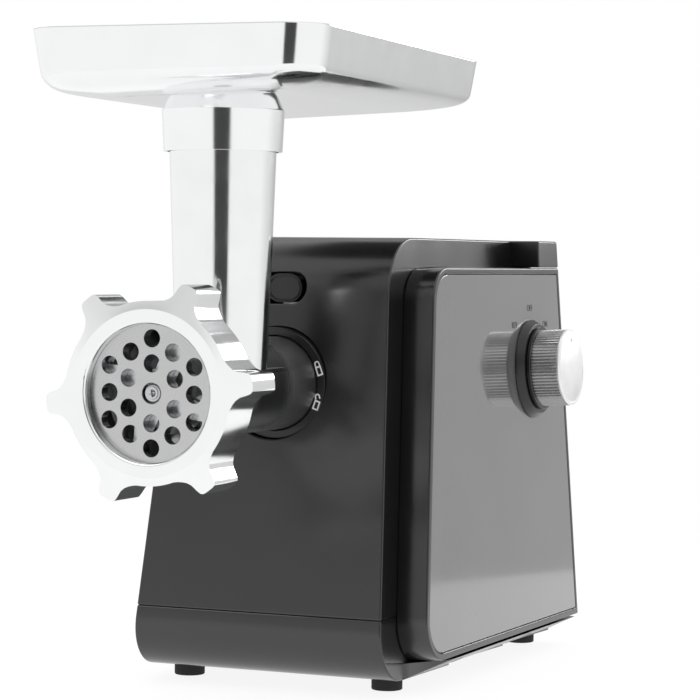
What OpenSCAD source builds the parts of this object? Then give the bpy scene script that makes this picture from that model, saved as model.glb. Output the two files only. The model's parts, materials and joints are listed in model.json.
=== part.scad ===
// Electric meat grinder: motor housing, gear train, grinding head, hopper tray and controls.
// Units are millimetres and +Z is up. The origin lies on the table, under the middle of the whole object.
// Every module below is drawn about the drive axis (x = 0), with y = 0 where the front face meets
// the height of that axis, and placed() moves it to the origin.

/* [Body] */
// Height of the drive axis above the table
axis_h = 131; // [125:1:150]
// Height of the top of the housing above the table
body_top = 194; // [188:1:230]
// Width of the front face at the height of the drive axis
front_w = 104.6; // [100:0.2:126]
// Distance from the front face to the back at the height of the drive axis
body_depth = 187; // [178:1:225]
// Angle by which the front face leans forward towards the bottom, in degrees
front_lean = 9.2; // [6:0.1:11]
// Angle by which the back leans out towards the bottom, in degrees
back_lean = 3.3; // [1:0.1:5]
// Angle by which each side leans out towards the bottom, in degrees
side_flare = 3.1; // [1:0.1:5]
// Radius of the front edge of the top
top_front_r = 30; // [15:1:34]
// Radius of the front edge of the bottom
bottom_front_r = 20; // [10:1:22]
// Gap between the table and the underside of the base
ground_gap = 6; // [4:0.5:8]
// Height of the seam between the base and the housing
seam_h = 33.5; // [28:0.5:40]
// Wall of the moulded shells
wall = 2.5; // [2:0.1:3]

/* [Side covers] */
// How far each side cover stands out from the side of the housing
cheek_out = 14.2; // [11:0.1:18]
// How far the left side cover, the one without a knob, stands out
left_out = 6.5; // [6:0.1:14]
// How far each side cover starts behind the front face
cheek_back = 16.5; // [12:0.5:24]
// Height of the top of the side covers
cheek_top = 181.3; // [170:0.1:186]
// Height of the bottom of the side covers
cheek_bottom = 14; // [11:0.5:18]
// Radius of the front corners of the side covers
cheek_r = 17; // [10:1:24]
// Rim of the side cover left around the inlaid panel
panel_rim = 3; // [2:0.5:6]
// Thickness of the inlaid panel
panel_t = 1.8; // [1:0.1:2]
// Distance from the front face to the wide rear part at the top
rear_block_y = 157; // [145:1:168]

/* [Grinding head] */
// Distance from the front face to the outlet face of the ring nut
ring_front = 117.1; // [112:0.5:130]
// Diameter of the grinding plate
plate_d = 62; // [58:0.5:66]
// Thickness of the grinding plate
plate_t = 5; // [3:0.5:6]
// Diameter of the holes in the plate
plate_hole_d = 7; // [4:0.5:7.5]
// Spacing of the holes in the plate
hole_pitch = 10.8; // [9.5:0.1:11]
// Opening of the ring nut
ring_open_d = 54.6; // [50:0.2:56]
// Outer diameter of the ring nut between its grips
ring_d = 72.6; // [72:0.2:80]
// Depth of the ring nut
ring_depth = 22; // [18:0.5:26]
// How far the grips of the ring nut stand out
grip_out = 9.4; // [6:0.2:12]
// Angle at which the ring nut has stopped, in degrees
ring_turn = 6.5; // [0:0.5:20]
// Outer diameter of the barrel
barrel_d = 40; // [38:0.2:42]
// Wall of the cast barrel
barrel_wall = 2.8; // [2.4:0.1:3.2]
// Distance from the front face to the axis of the feed throat
throat_front = 51.3; // [48:0.5:60]
// Outer diameter of the feed throat at its top
throat_d = 45.2; // [43:0.2:48]
// Outer diameter of the feed throat where it meets the barrel
throat_foot_d = 38.8; // [36:0.2:40]
// Height of the top of the feed throat above the drive axis
throat_h = 112; // [100:1:130]
// Wall of the feed throat
throat_wall = 2.4; // [2:0.1:3]

/* [Hopper tray] */
// Width of the tray at its rim
tray_w = 126.6; // [110:0.5:150]
// Length of the tray at its rim
tray_l = 225; // [190:1:260]
// Distance from the front of the tray to the axis of its neck
tray_front = 61; // [50:1:75]
// Depth of the tray's walls
tray_wall_h = 17.5; // [14:0.5:22]
// Depth of the tray's bowed floor below its walls
tray_belly = 8; // [6:0.5:9]
// How much lower the floor lies along the left side than along the right
tray_dip = 5.6; // [0:0.1:6]
// Height of the tray's neck sleeve
sleeve_h = 17; // [12:0.5:22]
// Sheet thickness of the tray
tray_t = 1.2; // [1:0.1:2]
// Angle by which the tray is turned on the throat, in degrees
tray_turn = 4.3; // [0:0.1:8]

/* [Controls] */
// Distance from the front face to the axis of the knob
knob_y = 142; // [130:1:150]
// Height of the centre of the knob above the drive axis
knob_up = 3.3; // [-10:0.1:8]
// Diameter of the knob
knob_d = 35.4; // [30:0.2:38]
// How far the knob stands out from the side panel
knob_out = 19; // [16:0.5:24]
// Diameter of the bezel around the knob
bezel_d = 46; // [42:0.5:52]
// Height of the release button above the drive axis
button_up = 40.8; // [38:0.2:45]
// Width of the recess around the release button
recess_w = 23; // [18:0.5:28]
// Height of the recess around the release button
recess_h = 13.6; // [11:0.2:16]
// Travel of the release button
button_travel = 4; // [3:0.5:5]

/* [Gears] */
// Teeth on each pinion
pinion_teeth = 14; // [14:1:15]
// Teeth on each wheel
wheel_teeth = 56; // [54:1:58]
// Module of the output stage
module_out = 1.25; // [1.2:0.01:1.3]
// Module of the middle stage
module_mid = 1; // [0.95:0.01:1.05]
// Module of the motor stage
module_in = 0.8; // [0.76:0.01:0.84]

/* [Feet] */
// Diameter of the rubber feet
foot_d = 13.4; // [11:0.2:18]
// Half of the distance between the feet, side to side
foot_x = 47.5; // [38:0.5:49]
// Distance from the front face to the front feet
foot_front_y = 15.5; // [12:0.5:25]
// Distance from the front face to the rear feet
foot_rear_y = 181; // [150:1:183]

/* [Hidden] */
$fn = 96;
slack = 0.3;         // gap between pieces that move past each other
run = 0.05;          // running fit of a shaft in its bore, on the radius
eps = 0.01;

lean = tan(front_lean);
flare = tan(side_flare);
back = tan(back_lean);
// Faces of the housing at a height z
function face_y(z) = -lean * (axis_h - z);
function rear_y(z) = body_depth + back * (axis_h - z);
function side_x(z) = front_w / 2 + flare * (axis_h - z);
knob_h = axis_h + knob_up;
knob_x = side_x(knob_h) + cheek_out;
knob_dome = 1.5;
x_max = knob_x + (knob_out + knob_dome) * cos(side_flare);
tray_r = 17;
tray_left = -(tray_w / 2 - tray_r) * cos(tray_turn) - (tray_l - tray_front - tray_r) * sin(tray_turn) - tray_r;
x_min = min(tray_left, -side_x(cheek_bottom) - left_out);
y_max = rear_y(cheek_bottom);
y_min = -ring_front;
origin = [-(x_max + x_min) / 2, -(y_max + y_min) / 2, 0];
body_ink = "#2b2b2d";
dark_ink = "#1b1b1c";
metal_ink = "#c9ccd0";
steel_ink = "#9fa3a8";
brass_ink = "#b89a4a";
grey_ink = "#8f8f91";

// Head
barrel_r = barrel_d / 2;
bore_r = barrel_r - barrel_wall;
throat_y = -throat_front;
plate_front = -ring_front + 4.6;
plate_back = plate_front + plate_t;
bell_bore = plate_d / 2 + 0.15;
bell_r = bell_bore + 1.9;
bell_front = plate_front + 1;
bell_back = -ring_front + ring_depth;
cone_back = throat_y - 4;
knife_r = 25;
knife_t = 8;
knife_back = plate_back + knife_t;
knife_room = knife_r + 2;
barrel_back = 10;
hub_r = 24;
hub_front = -0.5;
hub_back = 26;
sleeve_top = axis_h + throat_h + 2;
rim_z = sleeve_top + 5.3 + tray_belly + tray_wall_h - 0.5;

// Gear train: output wheel on the drive axis, middle gear, first gear and motor pinion
stage_out = module_out * (pinion_teeth + wheel_teeth) / 2;
stage_mid = module_mid * (pinion_teeth + wheel_teeth) / 2;
stage_in = module_in * (pinion_teeth + wheel_teeth) / 2;
dir_out = 251.3;
dir_mid = -22;
mid_pos = [stage_out * cos(dir_out), axis_h + stage_out * sin(dir_out)];
first_pos = mid_pos + stage_mid * [cos(dir_mid), sin(dir_mid)];
dir_in = 360 - acos(-first_pos[0] / stage_in);
motor_pos = first_pos + stage_in * [cos(dir_in), sin(dir_in)];
wheel_out_y = hub_back + 5;
wheel_out_t = 11;
wheel_mid_y = wheel_out_y + wheel_out_t + 3;
wheel_mid_t = 8;
wheel_in_y = wheel_mid_y + wheel_mid_t + 3;
wheel_in_t = 6;
gear_front = wheel_out_y - 0.5;
box_front = hub_back;
box_wall = 2.5;
box_back = wheel_in_y + wheel_in_t + 2.5;
axle_r = 3;
shaft_r = 8;

// Motor
core_y = box_back + box_wall + 27;
core_l = 30;
core_r = 17;
air_gap = 0.6;
rotor_r = 3;
comm_y = core_y + core_l + 12;
bracket_y = comm_y + 18;
stator_half = 30;

module placed() {
    translate(origin) children();
}

// Lay a drawing in the XZ plane and push it back along +Y from y0
module along_y(y0, depth) {
    translate([0, y0 + depth, 0]) rotate([90, 0, 0]) linear_extrude(depth) children();
}

// A cylinder along +Y from y0, at x and z
module rod(y0, length, r, x = 0, z = axis_h, r_end = -1) {
    translate([x, y0, z]) rotate([-90, 0, 0]) cylinder(h = length, r1 = r, r2 = r_end < 0 ? r : r_end);
}

// A profile of [radius, y] points turned about the drive axis
module turned(points) {
    translate([0, 0, axis_h]) rotate([-90, 0, 0]) rotate_extrude() polygon(points);
}

// Lay a drawing of [y, height] points upright across x, from -half to half
module across_x(half) {
    translate([-half, 0, 0]) rotate([90, 0, 90]) linear_extrude(2 * half) children();
}

// The outer plane of the right side cover: x runs back, y runs up the slope and z runs outwards
module cheek_frame(out) {
    translate([front_w / 2 + out, 0, axis_h]) rotate([0, -side_flare, 0]) rotate([90, 0, 90]) children();
}

// The knob's axis as +Z, with z = 0 on the outer plane of the right side cover
module knob_frame() {
    translate([knob_x, knob_y, knob_h]) rotate([0, 90 - side_flare, 0]) children();
}

// Side view of the housing, [y, z], moved in by m, with its two front edges rounded
module side_profile(m, z0, y_back_top, y_back_bottom) {
    top = body_top - m;
    low = ground_gap + m;
    in_y = m / cos(front_lean);
    r1 = top_front_r - m;
    r2 = bottom_front_r - m;
    half_a = (90 - front_lean) / 2;
    half_b = (90 + front_lean) / 2;
    c1 = [face_y(top - r1) + in_y + r1 / cos(front_lean), top - r1];
    c2 = [face_y(low + r2) + in_y + r2 / cos(front_lean), low + r2];
    intersection() {
        union() {
            translate(c1) circle(r1);
            translate(c2) circle(r2);
            polygon([
                [c1[0], top],
                [c1[0] - r1 * cos(front_lean), c1[1] + r1 * sin(front_lean)],
                [c2[0] - r2 * cos(front_lean), c2[1] + r2 * sin(front_lean)],
                [c2[0], low],
                [y_back_bottom, low],
                [y_back_top, top]
            ]);
        }
        translate([-100, z0]) square([600, body_top - z0]);
    }
}

// Front view between the two leaning sides, moved in by m
module front_outline(m, z0, z1, right = 0, left = 0) {
    in_r = m / cos(side_flare) - right;
    in_l = m / cos(side_flare) - left;
    polygon([
        [-side_x(z0) + in_l, z0], [side_x(z0) - in_r, z0],
        [side_x(z1) - in_r, z1], [-side_x(z1) + in_l, z1]
    ]);
}

// Horizontal obround, w wide and h high, about the centre
module obround(w, h) {
    square([w - h, h], center = true);
    for (s = [-1, 1]) translate([s * (w - h) / 2, 0]) circle(d = h);
}

// Involute spur gear, with teeth thinned by play on each flank
module gear_2d(teeth, mod, play = 0.11, angle = 25) {
    pitch_r = mod * teeth / 2;
    base_r = pitch_r * cos(angle);
    root_r = pitch_r - 1.15 * mod;
    tip_r = pitch_r + 0.9 * mod;
    low_r = max(base_r, root_r) + eps;
    function inv(a) = tan(a) * 180 / PI - a;
    function half(r) = 90 / teeth + inv(angle) - inv(acos(min(1, base_r / r))) - play / pitch_r * 180 / PI;
    steps = 3;
    flank = concat(
        [[root_r, half(low_r)]],
        [for (i = [0:steps]) let(r = low_r + (tip_r - low_r) * i / steps) [r, half(r)]]
    );
    last = len(flank) - 1;
    polygon([
        for (t = [0:teeth - 1], i = [0:2 * last + 1])
            let(
                p = i <= last ? [flank[i][0], -flank[i][1]] : flank[2 * last + 1 - i],
                a = t * 360 / teeth + p[1]
            )
            p[0] * [cos(a), sin(a)]
    ]);
}

// A gear along +Y from y0 at pos, turned so that a tooth (or a gap) points to the direction dir
module gear(y0, t, teeth, mod, pos, dir, gap = false) {
    translate([pos[0], y0 + t, pos[1]]) rotate([90, 0, 0]) linear_extrude(t)
        rotate(dir + (gap ? 180 / teeth : 0)) gear_2d(teeth, mod);
}

// ---------- housing ----------

// Outer skin of the upper housing, moved in by m
module housing_solid(m) {
    intersection() {
        across_x(100) side_profile(m, seam_h - m, rear_block_y, rear_block_y);
        along_y(-60, 400) front_outline(m, seam_h - m - 1, body_top + 1);
    }
}

module main_housing() {
    color(body_ink) placed() difference() {
        housing_solid(0);
        difference() {
            housing_solid(wall);
            // bosses that the gearbox and the rear cover are screwed to
            for (p = box_screw_places()) rod(-30, box_front + 30, 4.5, p[0], p[1]);
            for (p = cover_screw_places()) rod(rear_block_y - 30, 30, 4, p[0], p[1]);
        }
        translate([-150, -100, -1]) cube([300, 500, seam_h + 1]);
        rod(-20, 60, hub_r + run);
        // opening for the release button
        translate([0, 0, axis_h + button_up]) along_y(-20, 60) obround(recess_w, recess_h);
        for (p = box_screw_places()) rod(box_front - 9, 10, 1.8, p[0], p[1]);
        for (p = cover_screw_places()) rod(rear_block_y - 14, 15, 1.6, p[0], p[1]);
        // opening for the switch behind the right side cover
        knob_frame() translate([-13, -13, -30]) cube([26, 26, 22]);
    }
}

// Outline of the base's wide foot from the front, rounded below and moved in by m
// The foot under the side covers slopes up and out from the edge of the base
module foot_outline() {
    top = cheek_bottom - 1.1;
    near = side_x(cheek_bottom);
    polygon([[-near, ground_gap], [near, ground_gap], [near + cheek_out, top], [-near - left_out, top]]);
}

// In plan the foot widens from the front corners to the full width
module foot_plan() {
    right = side_x(cheek_bottom) + cheek_out;
    left = side_x(cheek_bottom) + left_out;
    near = side_x(cheek_bottom) - 2;
    start = cheek_back - 14.5;
    full = cheek_back + cheek_r;
    polygon([[-near, start], [near, start], [right, full], [right, 400], [-left, 400], [-left, full]]);
}

module base_solid(m) {
    intersection() {
        across_x(100) side_profile(m, ground_gap, rear_y(seam_h) - m, rear_y(cheek_bottom) - 4 - m);
        union() {
            along_y(-60, 400) front_outline(m, ground_gap, seam_h + 1);
            if (m == 0) intersection() {
                along_y(-60, 400) foot_outline();
                linear_extrude(cheek_bottom) foot_plan();
            }
        }
        translate([-150, -100, ground_gap - 1]) cube([300, 500, seam_h - ground_gap + 1]);
    }
}

module base_pan() {
    color(body_ink) placed() difference() {
        union() {
            difference() {
                base_solid(0);
                base_solid(wall);
                // open towards the housing above
                intersection() {
                    translate([-150, -100, seam_h - wall - 1]) cube([300, 500, 20]);
                    along_y(-60, 400) front_outline(wall, ground_gap, seam_h + 2);
                    across_x(100) side_profile(wall, ground_gap, rear_y(seam_h) - wall, rear_y(seam_h) - wall);
                }
            }
            // ribs that carry the motor's saddle
            for (x = [-20, 20]) translate([x - 1.5, bracket_y - 4, ground_gap + wall - eps])
                cube([3, 16, saddle_low - ground_gap - wall + eps]);
            for (p = foot_places()) translate([p[0], p[1], ground_gap + eps])
                cylinder(h = 8, r = foot_d / 2 - 1.5);
        }
        for (p = foot_places()) translate([p[0], p[1], ground_gap - 1]) cylinder(h = 20, r = 2);
        base_screw_holes();
        // air slots under the motor
        for (i = [0:6]) translate([-24, 92 + 8 * i, ground_gap - 1]) cube([48, 3.5, 5]);
    }
}

saddle_low = motor_pos[1] - stator_half - 4;

function foot_places() = [
    for (x = [-foot_x, foot_x], y = [foot_front_y, foot_rear_y]) [x, y]
];

module rear_cover_solid(m) {
    intersection() {
        across_x(100) polygon([
            [rear_block_y, seam_h], [rear_y(seam_h) - m, seam_h],
            [rear_y(body_top) - m, body_top - m], [rear_block_y, body_top - m]
        ]);
        union() {
            along_y(-60, 400) front_outline(m, seam_h - 1, body_top + 1);
            along_y(-60, 400) front_outline(m, cheek_top + m + 0.2, body_top + 1, cheek_out, left_out);
        }
    }
}

module rear_cover() {
    color(body_ink) placed() difference() {
        union() {
            difference() {
                rear_cover_solid(0);
                translate([0, -eps, 0]) rear_cover_solid(wall);
            }
            // front walls of the two shoulders that stand out beside the housing
            intersection() {
                rear_cover_solid(0);
                translate([-150, rear_block_y, cheek_top]) cube([300, wall, 40]);
                along_y(0, 400) difference() {
                    translate([-120, 0]) square([240, body_top + 10]);
                    front_outline(wall, cheek_top - 5, body_top + 20);
                }
            }
            for (p = cover_screw_places()) rod(rear_block_y, rear_y(p[1]) - rear_block_y - 1, 4, p[0], p[1]);
        }
        for (p = cover_screw_places()) {
            rod(rear_block_y, 80, 1.6, p[0], p[1]);
            rod(rear_y(p[1]) - 3, 20, 3.4, p[0], p[1]);
        }
        // louvres in the back
        for (i = [0:8]) translate([-30, rear_block_y + 10, 84 + 7 * i]) cube([60, 40, 3]);
        rod(rear_block_y + 10, 60, gland_r, 0, gland_z);
    }
}

gland_r = 7;
gland_z = 52;
function cover_screw_places() = [for (s = [-1, 1], z = [48, body_top - 20]) [s * (side_x(z) - wall - 3), z]];

// Outline of a side cover in its own plane, moved in by m: leaning front and back, rounded front corners
module cheek_outline(m) {
    function up(z) = (z - axis_h) / cos(side_flare);
    function front_at(z) = face_y(z) + cheek_back;
    top = cheek_top - m;
    low = cheek_bottom + m;
    r = cheek_r - m;
    in_y = m / cos(front_lean);
    c1 = [front_at(top - r) + in_y + r / cos(front_lean), top - r];
    c2 = [front_at(low + r) + in_y + r / cos(front_lean), low + r];
    translate([c1[0], up(c1[1])]) circle(r);
    translate([c2[0], up(c2[1])]) circle(r);
    polygon([
        [c1[0], up(top)],
        [c1[0] - r * cos(front_lean), up(c1[1]) + r * sin(front_lean)],
        [c2[0] - r * cos(front_lean), up(c2[1]) + r * sin(front_lean)],
        [c2[0], up(low)],
        [rear_y(low) - m, up(low)],
        [rear_y(top) - m, up(top)]
    ]);
}

// A side cover on the right: a shallow shell with a rabbet for its panel
module side_cover(out, knob_hole) {
    cheek_n = out * cos(side_flare);
    difference() {
        cheek_frame(out) difference() {
            translate([0, 0, -cheek_n]) linear_extrude(cheek_n) cheek_outline(0);
            translate([0, 0, -cheek_n - 1]) linear_extrude(cheek_n + 1 - wall - panel_t) cheek_outline(wall);
            translate([0, 0, -panel_t]) linear_extrude(panel_t + 1) cheek_outline(panel_rim);
        }
        base_screw_holes();
        if (knob_hole) knob_frame() translate([0, 0, -10]) cylinder(h = 20, r = switch_neck + slack);
    }
}

switch_neck = 9;

module side_panel(out, knob_hole) {
    difference() {
        cheek_frame(out) translate([0, 0, -panel_t]) linear_extrude(panel_t - 0.2) cheek_outline(panel_rim + 0.1);
        if (knob_hole) knob_frame() translate([0, 0, -10]) cylinder(h = 20, r = switch_neck + slack);
    }
}

module right_side_cover() {
    color(body_ink) placed() side_cover(cheek_out, true);
}

module left_side_cover() {
    color(body_ink) placed() mirror([1, 0, 0]) side_cover(left_out, false);
}

module right_side_panel() {
    color(grey_ink) placed() side_panel(cheek_out, true);
}

module left_side_panel() {
    color(grey_ink) placed() mirror([1, 0, 0]) side_panel(left_out, false);
}

// Socket that the grinding head locks into
module hub_collar() {
    color(dark_ink) placed() difference() {
        rod(hub_front, hub_back - hub_front, hub_r);
        rod(hub_front - 1, barrel_back + 0.5 - hub_front + 1, barrel_r + 0.4);
        rod(0, 40, bush_r);
        // hollow around the gearbox's snout
        rod(hub_plate_back, 40, hub_r - 2.5);
        // way for the latch arm and its pin
        translate([-4, barrel_back - 1, axis_h + bush_r + 2]) cube([8, 30, hub_r]);
    }
}

hub_plate_back = 15;
bush_r = 12;

module rubber_feet() {
    color(dark_ink) placed() for (p = foot_places()) translate([p[0], p[1], 0]) difference() {
        union() {
            cylinder(h = ground_gap, r = foot_d / 2);
        }
        translate([0, 0, -1]) cylinder(h = ground_gap - 2, r = 3.6);
        translate([0, 0, -1]) cylinder(h = ground_gap + 2, r = 2);
    }
}

module foot_screws() {
    color(steel_ink) placed() for (p = foot_places()) translate([p[0], p[1], 0]) {
        translate([0, 0, ground_gap - 4.5]) cylinder(h = 1.5, r = 3.4);
        translate([0, 0, ground_gap - 3]) cylinder(h = 12, r = 2);
    }
}

module base_screw_holes() {
    for (x = [-1, 1], y = [60, 128]) translate([x * base_screw_x, y, 0]) {
        cylinder(h = cheek_bottom + 3, r = 1.6);
        cylinder(h = cheek_bottom - 3.2, r = 3.4);
    }
}

// Screws up through the base into the floor of the side covers
module base_screws() {
    color(steel_ink) placed() for (x = [-1, 1], y = [60, 128]) translate([x * base_screw_x, y, 0]) {
        translate([0, 0, cheek_bottom - 4.8]) cylinder(h = 1.6, r = 3.2);
        translate([0, 0, cheek_bottom - 4]) cylinder(h = wall + 3.5, r = 1.6);
    }
}

base_screw_x = side_x(cheek_bottom) + 3.4;

module rear_cover_screws() {
    color(steel_ink) placed() for (p = cover_screw_places()) {
        rod(rear_y(p[1]) - 3, 2, 3.2, p[0], p[1]);
        rod(rear_block_y - 13, rear_y(p[1]) - rear_block_y + 11, 1.6, p[0], p[1]);
    }
}

// Grommet through which the mains lead enters
module cord_gland() {
    y_out = rear_y(gland_z);
    color(dark_ink) placed() difference() {
        union() {
            rod(y_out - 8, 8, gland_r, 0, gland_z);
            rod(y_out - wall - 3.5, 3, gland_r + 2, 0, gland_z);
        }
        rod(y_out - 20, 40, 3.6, 0, gland_z);
    }
}

// ---------- release button and latch ----------

button_z = axis_h + button_up;
button_front = face_y(button_z) + 2.2;
button_back = button_front + 7;
arm_t = 2;
guide_y = box_front - 2;

module release_button() {
    color(dark_ink) placed() translate([0, 0, button_z]) along_y(button_front, button_back - button_front)
        obround(recess_w - 6, recess_h - 1);
}

// Steel arm behind the button, with the stem of its spring and the pin that locks the head
module latch_arm() {
    arm_low = axis_h + bush_r + 5;
    color(steel_ink) placed() {
        translate([-3.4, button_back, arm_low]) cube([6.8, arm_t, button_z + 4 - arm_low]);
        rod(button_back, arm_t + 3.6, 2.2, 0, button_z);
        rod(barrel_back + 0.8, button_back - barrel_back, 1.5, 0, arm_low + 2);
    }
}

// Guide behind the button that its stem and spring run in
module button_guide() {
    low = button_z - 8;
    side_y = face_y(button_z) + wall + 4.5;
    color(dark_ink) placed() difference() {
        union() {
            translate([-recess_w / 2 - 4, guide_y, low]) cube([recess_w + 8, 2, 16]);
            for (s = [-1, 1]) translate([s * (recess_w / 2 + 2.5) - 1.5, side_y, low])
                cube([3, guide_y + 1 - side_y, 14]);
        }
        rod(guide_y - 1, 4, 2.2 + slack, 0, button_z);
    }
}

// Coil spring between the arm and the guide, drawn as a stack of rings
module button_spring() {
    wire = 0.4;
    y0 = button_back + arm_t + 0.05;
    length = guide_y - 0.05 - y0;
    turns = 5;
    color(steel_ink) placed() for (i = [0:turns])
        translate([0, y0 + wire + (length - 2 * wire) * i / turns, button_z]) rotate([90, 0, 0])
            rotate_extrude() translate([3.6, 0]) circle(r = wire, $fn = 16);
}

// ---------- knob and switch ----------

module knob_bezel() {
    color(dark_ink) placed() knob_frame() difference() {
        translate([0, 0, -0.2]) cylinder(h = 4, r1 = bezel_d / 2, r2 = knob_d / 2 + 2.4);
        translate([0, 0, -1]) cylinder(h = 10, r = switch_neck + slack);
    }
}

module knob_flange() {
    color(dark_ink) placed() knob_frame() translate([0, 0, 4.1]) difference() {
        cylinder(h = 1.6, r = knob_d / 2 + 1.4);
        translate([0, 0, -1]) cylinder(h = 4, r = 3);
    }
}

module knob_barrel() {
    color(metal_ink) placed() knob_frame() difference() {
        translate([0, 0, 5.7]) cylinder(h = knob_out - 5.7 - 1, r = knob_d / 2);
        translate([0, 0, 5]) cylinder(h = 9, r = 3);
    }
}

// Slightly domed end of the knob, with a dimple as its pointer
module knob_cap() {
    r = knob_d / 2;
    color(metal_ink) placed() knob_frame() difference() {
        rotate_extrude() polygon(concat(
            [[0, knob_out - 1], [r, knob_out - 1], [r, knob_out - 0.5]],
            [for (i = [8:-1:0]) [(r - 0.5) * i / 8, knob_out + knob_dome * (1 - i * i / 64)]]
        ));
        translate([-r + 5.5, 0, knob_out + 0.6]) cylinder(h = 4, r = 0.9);
    }
}

// Rotary switch behind the side cover, with its threaded neck
module switch_body() {
    color(dark_ink) placed() difference() {
        knob_frame() {
            translate([-12.5, -12.5, -28]) cube([25, 25, 28 - wall - panel_t]);
            translate([0, 0, -wall - panel_t - eps]) cylinder(h = wall + panel_t + 2.5, r = switch_neck);
        }
        knob_frame() translate([0, 0, -20]) cylinder(h = 40, r = 3 + run);
        knob_frame() translate([0, 0, -22]) cylinder(h = 7, r = 8);
    }
}

module switch_rotor() {
    color(metal_ink) placed() knob_frame() {
        translate([0, 0, -21]) cylinder(h = 35, r = 3);
        translate([0, 0, -21]) cylinder(h = 5, r = 7);
    }
}

// ---------- gearbox ----------

box_half = 46.5;
box_top = axis_h + 39.5;
box_low = first_pos[1] - 32;

module box_outline(m) {
    translate([-box_half + m, box_low + m]) square([2 * (box_half - m), box_top - box_low - 2 * m]);
}

function box_screw_places() = [
    for (x = [-1, 1], z = [box_low + 6, box_top - 6]) [x * (box_half - 6), z]
];

module gearbox_housing() {
    color(grey_ink) placed() difference() {
        union() {
            difference() {
                along_y(box_front, box_back - box_front) box_outline(0);
                along_y(box_front + box_wall, 100) box_outline(box_wall);
            }
            for (p = box_screw_places()) rod(box_front, box_back - box_front, 4.5, p[0], p[1]);
            for (p = [mid_pos, first_pos]) rod(box_front, gear_front - slack - box_front, axle_r + 3, p[0], p[1]);
            rod(hub_plate_back, box_front - hub_plate_back + box_wall, bush_r + 3);
        }
        rod(hub_plate_back - 1, 40, bush_r);
        for (p = [mid_pos, first_pos]) rod(box_front + 1, 20, axle_r, p[0], p[1]);
        for (p = box_screw_places()) rod(box_front - 1, 100, 1.8, p[0], p[1]);
    }
}

module gearbox_cover() {
    color(grey_ink) placed() difference() {
        union() {
            along_y(box_back, box_wall) box_outline(0);
            rod(box_back, box_wall + 6, 14, motor_pos[0], motor_pos[1]);
            for (p = [mid_pos, first_pos]) rod(box_back - 1.6, 2, axle_r + 3, p[0], p[1]);
            rod(box_back - 6, 7, shaft_r + 4, 0, axis_h);
        }
        rod(box_back + 1, 20, 11, motor_pos[0], motor_pos[1]);
        rod(box_back - 1, 20, 7.5, motor_pos[0], motor_pos[1]);
        rod(box_back - 7, 7.5, shaft_r - 2 + run, 0, axis_h);
        for (p = [mid_pos, first_pos]) rod(box_back - 10, 11.5, axle_r, p[0], p[1]);
        for (p = box_screw_places()) rod(box_back - 1, 20, 1.8, p[0], p[1]);
        for (s = [-1, 1]) rod(box_back - 1, 20, 1.8, s * motor_screw_x, motor_pos[1]);
    }
}

motor_screw_x = stator_half + 4.5;

module gearbox_screws() {
    color(steel_ink) placed() for (p = box_screw_places()) {
        rod(box_front - 8, box_back + box_wall - box_front + 8, 1.8, p[0], p[1]);
        rod(box_back + box_wall, 2, 3.4, p[0], p[1]);
    }
}

// Sintered bush that the output shaft runs in
module output_bush() {
    color(brass_ink) placed() difference() {
        rod(barrel_back + 2, wheel_out_y - slack - barrel_back - 2, bush_r);
        rod(0, 60, shaft_r + run);
    }
}

module output_wheel() {
    color(steel_ink) placed() difference() {
        gear(wheel_out_y, wheel_out_t, wheel_teeth, module_out, [0, axis_h], dir_out, true);
        rod(wheel_out_y - 1, wheel_out_t + 2, shaft_r);
    }
}

// Output shaft with the socket that drives the auger
module output_shaft() {
    color(steel_ink) placed() difference() {
        union() {
            rod(barrel_back + 1.5, wheel_out_y + wheel_out_t - barrel_back - 1.5, shaft_r);
            rod(wheel_out_y + wheel_out_t, box_back - wheel_out_y - wheel_out_t, shaft_r - 2);
        }
        along_y(0, wheel_out_y + 6) translate([0, axis_h]) square(shank_w + 0.2, center = true);
    }
}

shank_w = 9;

module middle_gear() {
    color(steel_ink) placed() difference() {
        union() {
            gear(gear_front, wheel_out_t + 1, pinion_teeth, module_out, mid_pos, dir_out + 180);
            rod(wheel_out_y + wheel_out_t, 4, 6, mid_pos[0], mid_pos[1]);
            rod(wheel_mid_y, box_back - 1.6 - slack - wheel_mid_y, 5, mid_pos[0], mid_pos[1]);
            gear(wheel_mid_y, wheel_mid_t, wheel_teeth, module_mid, mid_pos, dir_mid, true);
        }
        rod(0, 80, axle_r + run, mid_pos[0], mid_pos[1]);
    }
}

module first_gear() {
    color(steel_ink) placed() difference() {
        union() {
            gear(wheel_mid_y - 0.5, wheel_mid_t + 1, pinion_teeth, module_mid, first_pos, dir_mid + 180);
            rod(gear_front, wheel_in_y - gear_front + 1, 5, first_pos[0], first_pos[1]);
            gear(wheel_in_y, wheel_in_t, wheel_teeth, module_in, first_pos, dir_in, true);
        }
        rod(0, 80, axle_r + run, first_pos[0], first_pos[1]);
    }
}

module middle_axle() {
    color(metal_ink) placed() rod(box_front + 1, box_back + 1.5 - box_front - 1, axle_r, mid_pos[0], mid_pos[1]);
}

module first_axle() {
    color(metal_ink) placed() rod(box_front + 1, box_back + 1.5 - box_front - 1, axle_r, first_pos[0], first_pos[1]);
}

// ---------- motor ----------

module on_motor(y0, length, r) {
    rod(y0, length, r, motor_pos[0], motor_pos[1]);
}

module motor_shaft() {
    color(metal_ink) placed() {
        gear(wheel_in_y - 1, wheel_in_t + 2, pinion_teeth, module_in, motor_pos, dir_in + 180);
        on_motor(wheel_in_y + wheel_in_t, bracket_y + 12 - wheel_in_y - wheel_in_t, rotor_r);
    }
}

module armature_core() {
    color(steel_ink) placed() difference() {
        on_motor(core_y, core_l, core_r);
        on_motor(core_y - 1, core_l + 2, rotor_r);
        for (i = [0:11]) translate([motor_pos[0], core_y - 1, motor_pos[1]]) rotate([0, i * 30, 0])
            translate([core_r - 5, 0, -0.9]) cube([6, core_l + 2, 1.8]);
    }
}

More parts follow.
